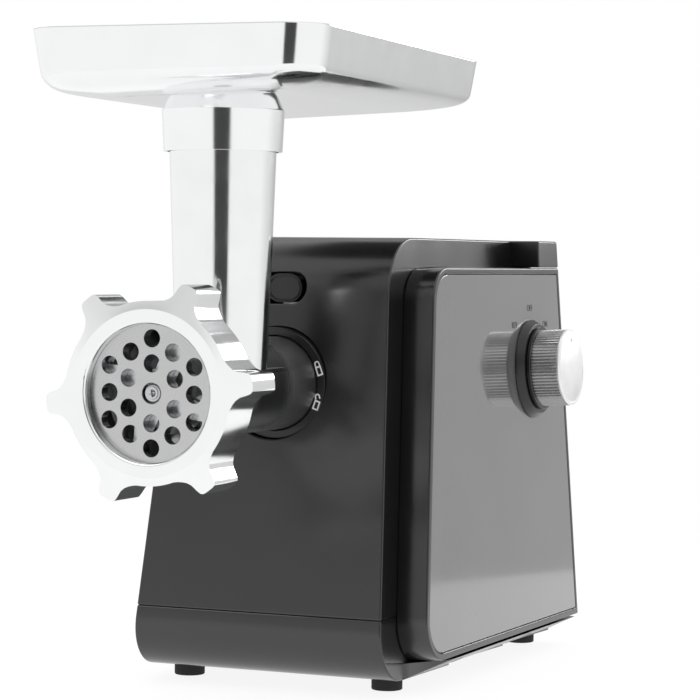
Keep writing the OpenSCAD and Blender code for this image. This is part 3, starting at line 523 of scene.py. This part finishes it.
class GRINDER_OT_shells(bpy.types.Operator):
    """Moulded shells: housing, base, rear cover and side covers, with rounded edges"""

    bl_idname = "grinder.shells"
    bl_label = "Shells"

    def execute(self, context):
        paint = finishes()["black_shell"]
        width = context.scene.grinder_sizes.edge_round * 1000
        for node in ("main_housing", "base_pan", "rear_cover", "left_side_cover", "right_side_cover"):
            shell = merged_copy(node, node + "_shell")
            round_edges(shell, width, 3, 28)
            smooth(shell, 30)
            place(shell, paint, BODY_OF[node], SLOT_OF[node], node)
        return {"FINISHED"}


class GRINDER_OT_panels(bpy.types.Operator):
    """Glossy panels laid into the side covers"""

    bl_idname = "grinder.panels"
    bl_label = "Side panels"

    def execute(self, context):
        for node in ("left_side_panel", "right_side_panel"):
            panel = merged_copy(node, node + "_inlay")
            round_edges(panel, 0.45, 3, 28)
            smooth(panel, 30)
            place(panel, finishes()["grey_panel"], BODY_OF[node], SLOT_OF[node], node)
        return {"FINISHED"}


class GRINDER_OT_collar(bpy.types.Operator):
    """Collar that the head locks into, with its open and closed padlock marks"""

    bl_idname = "grinder.collar"
    bl_label = "Hub collar"

    def execute(self, context):
        collar = merged_copy("hub_collar", "hub_collar_ring")
        round_edges(collar, 0.5, 3, 28)
        smooth(collar, 30)
        place(collar, finishes()["black_trim"], "body", SLOT_OF["hub_collar"], "hub_collar")
        marks = [padlock("locked", 19.5, 0.0), padlock("unlocked", -19.5, -32.0)]
        mark = joined("padlock_marks", *marks)
        place(mark, finishes()["white_mark"], "body", "white_polymer")
        return {"FINISHED"}


def padlock(name, angle, swing):
    """A small generic padlock on the collar's front face, at an angle; swing opens its shackle."""
    middle = 22.0
    turn = math.radians(angle)
    lift = math.radians(swing)

    def spot(u, v):
        # u runs round the collar and v runs outwards
        radial = middle + v
        x = radial * math.cos(turn) - u * math.sin(turn)
        z = radial * math.sin(turn) + u * math.cos(turn)
        return at(x, -0.5, DRIVE.z * 1000 + z)

    def frame_of(outer, inner):
        shape = slab(name + "_line", [spot(u, v) for u, v in outer], mm(0, -0.06, 0))
        hole = slab(name + "_hole", [spot(u, v) + mm(0, 0.1, 0) for u, v in inner], mm(0, -0.3, 0))
        return carve(shape, hole)

    def box(u0, u1, v0, v1):
        return [(u0, v0), (u1, v0), (u1, v1), (u0, v1)]

    case = frame_of(box(-3.9, 0.3, -1.4, 1.4), box(-3.2, -0.4, -0.75, 0.75))
    outer = arc((1.4, 0), 1.25, -90, 90, 12)
    inner = arc((1.4, 0), 0.65, 90, -90, 12)
    points = []
    for u, v in [(0.3, -1.25)] + outer + [(0.3, 1.25), (0.3, 0.65)] + inner + [(0.3, -0.65)]:
        du, dv = u - 0.3, v + 1.25
        points.append(spot(
            0.3 + du * math.cos(lift) - dv * math.sin(lift),
            -1.25 + du * math.sin(lift) + dv * math.cos(lift),
        ))
    shackle = slab(name + "_shackle", points, mm(0, -0.06, 0))
    return joined(name, case, shackle)


class GRINDER_OT_button(bpy.types.Operator):
    """Release button with its raised rim"""

    bl_idname = "grinder.button"
    bl_label = "Release button"

    def execute(self, context):
        low, high = (Vector(corner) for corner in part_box("release_button"))
        half_h = (high.z - low.z) / 2
        reach = (high.x - low.x) / 2 - half_h
        centre = Vector(((low.x + high.x) / 2, low.y, (low.z + high.z) / 2))
        outline = []
        for side, start in ((1, -90), (-1, 90)):
            for u, v in arc((side * reach, 0), half_h, start, start + 180, 20):
                outline.append(centre + Vector((u, 0.0004, v)))
        button = slab("release_button_cap", outline, Vector((0, high.y - low.y - 0.0004, 0)))
        edit(button, False, "FACE")
        leave()
        for face in button.data.polygons:
            face.select = face.normal.y < -0.9
        bpy.ops.object.mode_set(mode="EDIT")
        bpy.ops.mesh.inset(thickness=0.0009)
        bpy.ops.mesh.extrude_region_move(TRANSFORM_OT_translate={"value": (0, -0.0004, 0)})
        bpy.ops.mesh.inset(thickness=0.0005)
        bpy.ops.mesh.extrude_region_move(TRANSFORM_OT_translate={"value": (0, 0.0007, 0)})
        leave()
        round_edges(button, 0.18, 2, 30)
        smooth(button, 34)
        place(button, finishes()["black_trim"], "button", SLOT_OF["release_button"], "release_button")
        return {"FINISHED"}


class GRINDER_OT_spring(bpy.types.Operator):
    """Coil spring behind the release button, moving with the button, with a mesh of its own"""

    bl_idname = "grinder.spring"
    bl_label = "Button spring"

    def execute(self, context):
        coil = merged_copy("button_spring", "button_spring_coil")
        smooth(coil, 40)
        slot = SLOT_OF["button_spring"]
        place(coil, finishes()[slot], "button", slot, "button_spring")
        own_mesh(coil)
        return {"FINISHED"}


# ---------------------------------------------------------------- knob


def knob_point(radius, height, angle=0.0):
    """A point about the knob's axis: radius and height above the side cover's plane in millimetres."""
    side = AXIS_Y
    up = KNOB_AXIS.cross(side)
    turn = math.radians(angle)
    spoke = side * math.cos(turn) + up * math.sin(turn)
    return KNOB_AT + spoke * (radius / 1000) + KNOB_AXIS * (height / 1000)


class GRINDER_OT_knob(bpy.types.Operator):
    """Bezel, flange, knurled barrel and brushed cap of the rotary knob"""

    bl_idname = "grinder.knob"
    bl_label = "Knob"

    def execute(self, context):
        made = finishes()
        bezel_profile = [
            (9.4, 0), (23, 0), (23, 0.5), (22.8, 0.9), (21.2, 3.3), (20.8, 3.7), (20.2, 3.8), (9.4, 3.8),
        ]
        bezel = lathe(
            "knob_bezel_ring", [knob_point(r, h) for r, h in bezel_profile], KNOB_AT, KNOB_AXIS, 96, True)
        smooth(bezel, 30)
        place(bezel, made["black_trim"], "body", SLOT_OF["knob_bezel"], "knob_bezel")
        flange_profile = [(3.2, 4.1), (18.9, 4.1), (19.1, 4.3), (19.1, 5.4), (18.9, 5.6), (3.2, 5.6)]
        flange = lathe(
            "knob_flange_ring", [knob_point(r, h) for r, h in flange_profile], KNOB_AT, KNOB_AXIS, 96, True)
        smooth(flange, 30)
        place(flange, made["black_trim"], "knob", SLOT_OF["knob_flange"], "knob_flange")
        count = context.scene.grinder_sizes.knurls
        step = 360 / count
        valley, crest, foot = 17.15, 17.7, 5.7
        outline = []
        for i in range(count):
            outline.append(knob_point(valley, foot, i * step))
            outline.append(knob_point(crest, foot, (i + 0.38) * step))
            outline.append(knob_point(crest, foot, (i + 0.62) * step))
        barrel = slab("knob_barrel_grip", outline, KNOB_AXIS * 0.0122)
        core = lathe(
            "knob_barrel_bore", [knob_point(r, h) for r, h in ((0, 5), (3.1, 5), (3.1, 14), (0, 14))],
            KNOB_AT, KNOB_AXIS, 48)
        carve(barrel, core)
        smooth(barrel, 25, False)
        place(barrel, made["knurled_metal"], "knob", SLOT_OF["knob_barrel"], "knob_barrel")
        cap_profile = [
            (0, 17.95), (17.1, 17.95), (17.1, 18.2), (17.6, 18.35), (17.6, 18.75), (17.1, 19.25),
            (16.6, 19.3), (16.4, 19.1), (16.1, 19.1), (15.8, 19.35), (12, 19.75), (8, 20.05), (4, 20.25),
            (0, 20.3),
        ]
        cap = lathe("knob_cap_face", [knob_point(r, h) for r, h in cap_profile], KNOB_AT, KNOB_AXIS, 128)
        dimple = lathe(
            "knob_dimple", [knob_point(r, h) for r, h in ((0, 18.7), (0.95, 18.7), (0.95, 21), (0, 21))],
            KNOB_AT, KNOB_AXIS, 32)
        edit(dimple)
        offset = knob_point(12.6, 0, 90) - KNOB_AT
        bpy.ops.transform.translate(value=offset)
        leave()
        carve(cap, dimple)
        smooth(cap, 26, False)
        place(cap, made["brushed_face"], "knob", SLOT_OF["knob_cap"], "knob_cap")
        return {"FINISHED"}


class GRINDER_OT_dial_marks(bpy.types.Operator):
    """Raised OFF, ON and REV marks on the panel round the knob"""

    bl_idname = "grinder.dial_marks"
    bl_label = "Dial marks"

    def execute(self, context):
        up = KNOB_AXIS.cross(AXIS_Y)
        basis = Matrix((AXIS_Y, up, KNOB_AXIS)).transposed().to_4x4()
        words = []
        for word, radius, angle in (("OFF", 28.2, 90), ("ON", 28.8, 45), ("REV", 29.5, 136)):
            only()
            bpy.ops.object.text_add(location=(0, 0, 0))
            text = bpy.context.object
            text.data.body = word
            text.data.size = 0.0042
            text.data.extrude = 0.00005
            text.data.align_x = "CENTER"
            text.data.align_y = "CENTER"
            bpy.ops.object.convert(target="MESH")
            text = bpy.context.object
            spot = knob_point(radius, -0.15, angle)
            text.matrix_world = Matrix.Translation(spot) @ basis
            only(text)
            bpy.ops.object.transform_apply(location=True, rotation=True, scale=True)
            words.append(text)
        marks = joined("dial_marks", *words)
        place(marks, finishes()["black_trim"], "body", "black_trim")
        return {"FINISHED"}


# ---------------------------------------------------------------- grinding head


class GRINDER_OT_head(bpy.types.Operator):
    """Polished head: bell, barrel and tapered throat in one casting"""

    bl_idname = "grinder.head"
    bl_label = "Head casting"

    def execute(self, context):
        z0 = DRIVE.z * 1000
        outer = turned_y("head_outer", [
            (0, -111.4), (32.4, -111.4), (33.0, -110.8), (33.0, -95.5), (32.6, -94.6), (31.9, -93.6),
            (20.3, -56.6), (20.05, -55.6), (20, -54.5), (20, 9.4), (19.4, 10), (0, 10),
        ], 128)
        throat_outer = lathe("throat_outer", [
            Vector((THROAT.x + r / 1000, THROAT.y, z / 1000)) for r, z in
            ((0, z0), (18.7, z0), (22.5, z0 + 111.4), (22.3, z0 + 112), (0, z0 + 112))
        ], Vector((THROAT.x, THROAT.y, 0)), AXIS_Z, 128)
        carve(outer, throat_outer, "UNION")
        bore = turned_y("head_bore", [
            (0, -113), (31.15, -113), (31.15, -107.5), (27, -107.5), (27, -98.5), (17.2, -87.5), (17.2, 4),
            (14.2, 4), (14.2, 12), (0, 12),
        ], 128)
        carve(outer, bore)
        throat_bore = lathe("throat_bore", [
            Vector((THROAT.x + r / 1000, THROAT.y, z / 1000)) for r, z in
            ((0, z0), (16.3, z0), (20.2, z0 + 113), (0, z0 + 113))
        ], Vector((THROAT.x, THROAT.y, 0)), AXIS_Z, 128)
        carve(outer, throat_bore)
        smooth(outer, 30)
        outer.name = "head_shell"
        place(outer, finishes()["head_metal"], "head", SLOT_OF["head_casting"], "head_casting")
        return {"FINISHED"}


class GRINDER_OT_ring(bpy.types.Operator):
    """Ring nut with six hollow-flanked grips"""

    bl_idname = "grinder.ring"
    bl_label = "Ring nut"

    def execute(self, context):
        turn = math.degrees(context.scene.grinder_sizes.ring_turn)
        valley = 36.3  # the ring's radius between its grips
        flank = [
            (34.6, 10.6), (35.6, 9.0), (36.8, 7.4), (38.2, 6.0), (40.0, 5.0), (43.0, 4.4), (44.6, 3.9),
            (45.4, 3.1), (45.68, 1.8),
        ]
        grip = flank + [(45.7, 0.0)] + [(r, -h) for r, h in reversed(flank)]
        outline = []
        for i in range(6):
            spoke = turn + i * 60
            for u, v in reversed(grip):
                radius = max(math.hypot(u, v), valley)
                outline.append((radius, math.degrees(math.atan2(v, u)) + spoke))
            span = math.degrees(math.atan2(flank[0][1], flank[0][0]))
            for k in range(1, 8):
                outline.append((valley, spoke + span + (60 - 2 * span) * k / 8))
        points = [
            at(r * math.cos(math.radians(a)), -117.1, DRIVE.z * 1000 + r * math.sin(math.radians(a)))
            for r, a in outline
        ]
        ring = slab("ring_body", points, mm(0, 22, 0))
        round_edges(ring, 0.5, 3, 50)
        envelope = turned_y("ring_envelope", [
            (0, -117.1), (32.9, -117.1), (33.3, -116.95), (46.5, -115.5), (46.5, -95), (0, -95),
        ], 128)
        carve(ring, envelope, "INTERSECT")
        bore = turned_y("ring_bore", [
            (0, -119), (29.3, -119), (28.9, -117.3), (27.9, -116.8), (27.4, -116.1), (27.3, -115.2),
            (27.3, -112.7), (33.35, -112.7), (33.35, -94), (0, -94),
        ], 128)
        carve(ring, bore)
        smooth(ring, 32)
        ring.name = "ring_nut_body"
        place(ring, finishes()["polished_aluminium"], "ring", SLOT_OF["ring_nut"], "ring_nut")
        return {"FINISHED"}


class GRINDER_OT_plate(bpy.types.Operator):
    """Grinding plate with eighteen countersunk holes"""

    bl_idname = "grinder.plate"
    bl_label = "Grinding plate"

    def execute(self, context):
        plate = merged_copy("grinding_plate", "grinding_plate_disc")
        round_edges(plate, 0.25, 2, 40)
        smooth(plate, 30)
        place(plate, finishes()["plate_steel"], "head", SLOT_OF["grinding_plate"], "grinding_plate")
        return {"FINISHED"}


class GRINDER_OT_pin(bpy.types.Operator):
    """Auger pin that shows in the middle of the plate, centre-drilled and chamfered"""

    bl_idname = "grinder.pin"
    bl_label = "Auger pin"

    def execute(self, context):
        low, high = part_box("auger_pin")
        front = (low[1] - FACE_Y) * 1000
        back = (high[1] - FACE_Y) * 1000
        radius = (high[0] - low[0]) * 500
        pin = turned_y("auger_pin_rod", [
            (0, front + 2.2), (0.7, front + 1.6), (0.8, front + 0.9), (1.5, front + 0.1), (1.6, front),
            (radius - 1.1, front), (radius - 0.95, front + 0.35), (radius - 0.6, front + 0.4),
            (radius - 0.35, front + 0.45), (radius, front + 0.9), (radius, back - 8),
            (radius - 1, back - 8), (radius - 1, back), (0, back),
        ], 64)
        smooth(pin, 30)
        place(pin, finishes()["turned_steel"], "drive", SLOT_OF["auger_pin"], "auger_pin")
        return {"FINISHED"}


class GRINDER_OT_tray(bpy.types.Operator):
    """Hopper tray: one pressed pan with a bowed floor, and the neck sleeve under it"""

    bl_idname = "grinder.tray"
    bl_label = "Hopper tray"

    def execute(self, context):
        turn = context.scene.grinder_sizes.tray_turn
        # half the pan's width, then its front and rear edges behind the throat
        half, front, rear = 63.25, -60.95, 163.95
        # how much higher the floor's right side is than its left, over this width
        lift, lift_width = 5.6, 126.6
        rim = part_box("hopper_tray")[1][2] * 1000
        floor = rim - 25.5
        # shrink from the rim, height above the floor, corner radius, share of the sideways tilt
        outside = [
            (0.0, 25.1, 17.0, 0.0), (0.1, 24.6, 17.0, 0.0), (0.75, 20.0, 16.8, 0.05), (1.6, 14.0, 16.5, 0.12),
            (2.35, 9.2, 16.2, 0.25), (2.9, 7.4, 16.0, 0.4), (3.9, 5.7, 16.0, 0.55), (5.4, 4.3, 16.0, 0.7),
            (7.4, 3.2, 16.0, 0.8), (10.0, 2.4, 16.0, 0.88), (14.0, 1.6, 15.5, 0.95), (20.0, 0.9, 14.0, 1.0),
            (28.0, 0.4, 12.0, 1.0),
        ]
        inside = [
            (0.1, 25.4, 17.0, 0.0), (0.4, 25.5, 17.0, 0.0), (1.1, 25.4, 17.0, 0.0), (1.35, 25.1, 17.0, 0.0),
            (1.5, 24.0, 16.9, 0.0), (2.1, 20.0, 16.8, 0.05), (3.0, 14.0, 16.5, 0.12), (3.8, 9.6, 16.2, 0.25),
            (4.5, 8.1, 16.0, 0.4), (5.5, 6.7, 16.0, 0.55), (7.0, 5.5, 16.0, 0.7), (9.0, 4.5, 16.0, 0.8),
            (11.5, 3.7, 16.0, 0.88), (15.0, 2.9, 15.5, 0.95), (20.5, 2.1, 14.0, 1.0), (28.0, 1.6, 12.0, 1.0),
        ]

        def tray_point(x, y, z, share):
            z = floor + z + lift * share * x / lift_width
            return Vector((
                THROAT.x + (x * math.cos(turn) - y * math.sin(turn)) / 1000,
                THROAT.y + (x * math.sin(turn) + y * math.cos(turn)) / 1000, z / 1000,
            ))

        def pan_loop(shrink, height, radius, share):
            w = half - shrink
            points = []
            for cx, cy, start in (
                (w - radius, rear - shrink - radius, 0), (-w + radius, rear - shrink - radius, 90),
                (-w + radius, front + shrink + radius, 180), (w - radius, front + shrink + radius, 270),
            ):
                corner = arc((cx, cy), radius, start, start + 90, 15)
                points += [tray_point(x, y, height, share) for x, y in corner]
            return points

        def neck_loop(radius, height):
            return [tray_point(x, y, height, 1.0) for x, y in arc((0, 0), radius, 0, 360, 64)[:-1]]

        loops = [neck_loop(18.6, 3.0), neck_loop(21.6, 1.6)]
        loops += [pan_loop(*row) for row in reversed(outside)]
        loops += [pan_loop(*row) for row in inside]
        loops += [neck_loop(21.6, 2.8), neck_loop(18.6, 4.2)]
        pan = joined("tray_pan", *[wire("tray_loop", points, closed=True) for points in loops])
        count = len(loops[0])
        for i in range(len(loops)):
            wanted = {i, (i + 1) % len(loops)}
            edit(pan, False)
            leave()
            for vertex in pan.data.vertices:
                vertex.select = vertex.index // count in wanted
            bpy.ops.object.mode_set(mode="EDIT")
            bpy.ops.mesh.bridge_edge_loops()
            leave()
        outward(pan)
        centre = Vector((THROAT.x, THROAT.y, 0))
        top = rim - 30.3
        sleeve = lathe("tray_sleeve", [
            Vector((THROAT.x + r / 1000, THROAT.y, (top + h) / 1000)) for r, h in (
                (22.95, -17.0), (24.35, -17.0), (24.45, -16.8), (25.25, -0.5), (25.3, -0.1), (25.0, 0.25),
                (24.2, 1.9), (23.2, 4.2), (22.3, 5.9), (21.4, 7.2), (18.6, 7.2), (18.6, -1.7), (22.95, -1.7),
            )
        ], centre, AXIS_Z, 128, True)
        tray = joined("hopper_tray_body", pan, sleeve)
        smooth(tray, 34)
        place(tray, finishes()["polished_aluminium"], "tray", SLOT_OF["hopper_tray"], "hopper_tray")
        return {"FINISHED"}


class GRINDER_OT_feet(bpy.types.Operator):
    """Rubber feet with a rounded lower edge"""

    bl_idname = "grinder.feet"
    bl_label = "Rubber feet"

    def execute(self, context):
        feet = merged_copy("rubber_feet", "rubber_feet_pads")
        round_edges(feet, 0.6, 3, 40)
        smooth(feet, 30)
        place(feet, finishes()["soft_rubber"], "body", SLOT_OF["rubber_feet"], "rubber_feet")
        return {"FINISHED"}


class GRINDER_OT_mechanism(bpy.types.Operator):
    """Finishes for every mechanical piece that keeps its frame shape"""

    bl_idname = "grinder.mechanism"
    bl_label = "Mechanism"

    def execute(self, context):
        made = finishes()
        for name, node in NODES.items():
            slot = SLOT_OF[name]
            node.data.materials.clear()
            node.data.materials.append(made[slot])
            only(node)
            bpy.ops.object.shade_smooth_by_angle(angle=math.radians(28))
        return {"FINISHED"}


# ---------------------------------------------------------------- studio


def flat_material(name, colour, roughness=0.8, glow=0.0):
    material = bpy.data.materials.new(name)
    material.use_nodes = True
    shader = material.node_tree.nodes["Principled BSDF"]
    shader.inputs["Base Color"].default_value = (*colour, 1)
    shader.inputs["Roughness"].default_value = roughness
    shader.inputs["Emission Color"].default_value = (*colour, 1)
    shader.inputs["Emission Strength"].default_value = glow
    return material


def soft_room(scene):
    """A pale room whose brightness changes with direction, plain white where the camera looks past."""
    world = bpy.data.worlds.new("soft_room")
    scene.world = world
    world.use_nodes = True
    tree = world.node_tree
    make = tree.nodes.new
    where = make("ShaderNodeTexCoord")
    apart = make("ShaderNodeSeparateXYZ")
    tree.links.new(where.outputs["Generated"], apart.inputs[0])
    back = make("ShaderNodeMath")
    back.operation = "MULTIPLY"
    back.inputs[1].default_value = -1.0
    tree.links.new(apart.outputs["Y"], back.inputs[0])
    angle = make("ShaderNodeMath")
    angle.operation = "ARCTAN2"
    tree.links.new(apart.outputs["X"], angle.inputs[0])
    tree.links.new(back.outputs[0], angle.inputs[1])
    share = make("ShaderNodeMath")
    share.operation = "MULTIPLY_ADD"
    share.inputs[1].default_value = 0.5 / math.pi
    share.inputs[2].default_value = 0.5
    tree.links.new(angle.outputs[0], share.inputs[0])
    walls = make("ShaderNodeValToRGB")
    tree.links.new(share.outputs[0], walls.inputs[0])
    # direction round the grinder in degrees, 0 to the front and 90 to the right, then brightness:
    # a pale room, dimmer at the back, with a dark flag behind the camera
    flag = math.degrees(scene.grinder_studio.azimuth)
    stops = [
        (-180, 0.5), (-120, 1.0), (flag - 18, 1.0), (flag - 14, 0.06), (flag + 14, 0.06), (flag + 18, 1.0),
        (120, 1.0), (180, 0.5),
    ]
    band = make("ShaderNodeValToRGB")
    tree.links.new(apart.outputs["Z"], band.inputs[0])
    upper = band.color_ramp.elements
    while len(upper) < 4:
        upper.new(0.5)
    for element, (height, shine) in zip(upper, ((0.06, 1.0), (0.22, 0.6), (0.45, 0.6), (0.7, 1.0))):
        element.position = height
        element.color = (shine, shine, shine, 1)
    elements = walls.color_ramp.elements
    while len(elements) < len(stops):
        elements.new(0.5)
    for element, (degrees, shine) in zip(elements, stops):
        element.position = degrees / 360 + 0.5
        element.color = (shine, shine, shine, 1)
    ceiling = make("ShaderNodeMapRange")
    ceiling.inputs["From Min"].default_value = 0.35
    ceiling.inputs["From Max"].default_value = 0.9
    tree.links.new(apart.outputs["Z"], ceiling.inputs["Value"])
    room = make("ShaderNodeMix")
    room.data_type = "RGBA"
    room.inputs[7].default_value = (1.0, 1.0, 1.0, 1)
    tree.links.new(ceiling.outputs[0], room.inputs[0])
    shaded = make("ShaderNodeMix")
    shaded.data_type = "RGBA"
    shaded.blend_type = "MULTIPLY"
    shaded.inputs[0].default_value = 1.0
    tree.links.new(walls.outputs[0], shaded.inputs[6])
    tree.links.new(band.outputs[0], shaded.inputs[7])
    tree.links.new(shaded.outputs[2], room.inputs[6])
    lit = tree.nodes["Background"]
    tree.links.new(room.outputs[2], lit.inputs["Color"])
    plain = make("ShaderNodeBackground")
    plain.inputs["Color"].default_value = (1, 1, 1, 1)
    ray = make("ShaderNodeLightPath")
    either = make("ShaderNodeMixShader")
    tree.links.new(ray.outputs["Is Camera Ray"], either.inputs[0])
    tree.links.new(lit.outputs[0], either.inputs[1])
    tree.links.new(plain.outputs[0], either.inputs[2])
    tree.links.new(either.outputs[0], tree.nodes["World Output"].inputs[0])


class GRINDER_OT_studio(bpy.types.Operator):
    """Plain pale floor, soft light, dark flag behind the camera, and the camera"""

    bl_idname = "grinder.studio"
    bl_label = "Studio"

    def execute(self, context):
        shot = context.scene.grinder_studio
        only()
        bpy.ops.mesh.primitive_circle_add(
            vertices=96, radius=0.62, fill_type="NGON", location=(0, 0, -0.0002))
        floor = bpy.context.object
        floor.name = "floor"
        floor.data.materials.append(flat_material("floor_paper", (0.12, 0.12, 0.12), 0.9, 7.4))
        soft_room(context.scene)
        context.scene.view_settings.view_transform = "Standard"
        az, el = shot.azimuth, shot.elevation
        forward = Vector((-math.sin(az) * math.cos(el), math.cos(az) * math.cos(el), -math.sin(el)))
        flat_right = Vector((math.cos(az), math.sin(az), 0))
        up0 = flat_right.cross(forward)
        right = flat_right * math.cos(shot.roll) + up0 * math.sin(shot.roll)
        up = up0 * math.cos(shot.roll) - flat_right * math.sin(shot.roll)
        aim = Vector(shot.aim)
        camera_data = bpy.data.cameras.new("camera")
        camera_data.lens = shot.lens
        camera_data.sensor_width = 36
        camera_data.sensor_fit = "HORIZONTAL"
        camera_data.clip_start = 0.01
        camera = bpy.data.objects.new("camera", camera_data)
        context.scene.collection.objects.link(camera)
        turn = Matrix((right, up, -forward)).transposed().to_4x4()
        camera.matrix_world = Matrix.Translation(aim - forward * shot.distance) @ turn
        context.scene.camera = camera
        for name, place_at, size, watts in (
            ("top_light", (-0.5, -0.4, 1.6), 1.2, 4.0),
            ("rim_light", (0.60, 1.32, 0.56), 0.5, 4.5),
        ):
            lamp_data = bpy.data.lights.new(name, "AREA")
            lamp_data.size = size
            lamp_data.energy = watts
            lamp = bpy.data.objects.new(name, lamp_data)
            context.scene.collection.objects.link(lamp)
            direction = Vector((0, 0, 0.12)) - Vector(place_at)
            facing = direction.to_track_quat("-Z", "Y").to_matrix().to_4x4()
            lamp.matrix_world = Matrix.Translation(place_at) @ facing
        return {"FINISHED"}


# ---------------------------------------------------------------- panel and running


STEPS = (
    GRINDER_OT_studio, GRINDER_OT_mechanism, GRINDER_OT_shells, GRINDER_OT_panels, GRINDER_OT_collar,
    GRINDER_OT_button, GRINDER_OT_spring, GRINDER_OT_knob, GRINDER_OT_dial_marks, GRINDER_OT_head,
    GRINDER_OT_ring, GRINDER_OT_plate, GRINDER_OT_pin, GRINDER_OT_tray, GRINDER_OT_feet,
)


class GRINDER_PT_build(bpy.types.Panel):
    """Sidebar panel with the sizes, the finishes and the building steps"""

    bl_label = "Meat Grinder"
    bl_idname = "GRINDER_PT_build"
    bl_space_type = "VIEW_3D"
    bl_region_type = "UI"
    bl_category = "Grinder"

    def draw(self, context):
        column = self.layout.column()
        scene = context.scene
        for group in (scene.grinder_sizes, scene.grinder_look, scene.grinder_studio):
            for key in group.__annotations__:
                column.prop(group, key)
        for step in STEPS:
            column.operator(step.bl_idname)


CLASSES = (GrinderSizes, GrinderLook, GrinderStudio, *STEPS, GRINDER_PT_build)


def register():
    for each in CLASSES:
        bpy.utils.register_class(each)
    bpy.types.Scene.grinder_sizes = PointerProperty(type=GrinderSizes)
    bpy.types.Scene.grinder_look = PointerProperty(type=GrinderLook)
    bpy.types.Scene.grinder_studio = PointerProperty(type=GrinderStudio)


def unregister():
    del bpy.types.Scene.grinder_studio
    del bpy.types.Scene.grinder_look
    del bpy.types.Scene.grinder_sizes
    for each in reversed(CLASSES):
        bpy.utils.unregister_class(each)


def main():
    register()
    for step in STEPS:
        group, name = step.bl_idname.split(".")
        result = getattr(getattr(bpy.ops, group), name)()
        if result != {"FINISHED"}:
            raise RuntimeError(step.bl_label + " did not finish")


if __name__ == "__main__":
    main()
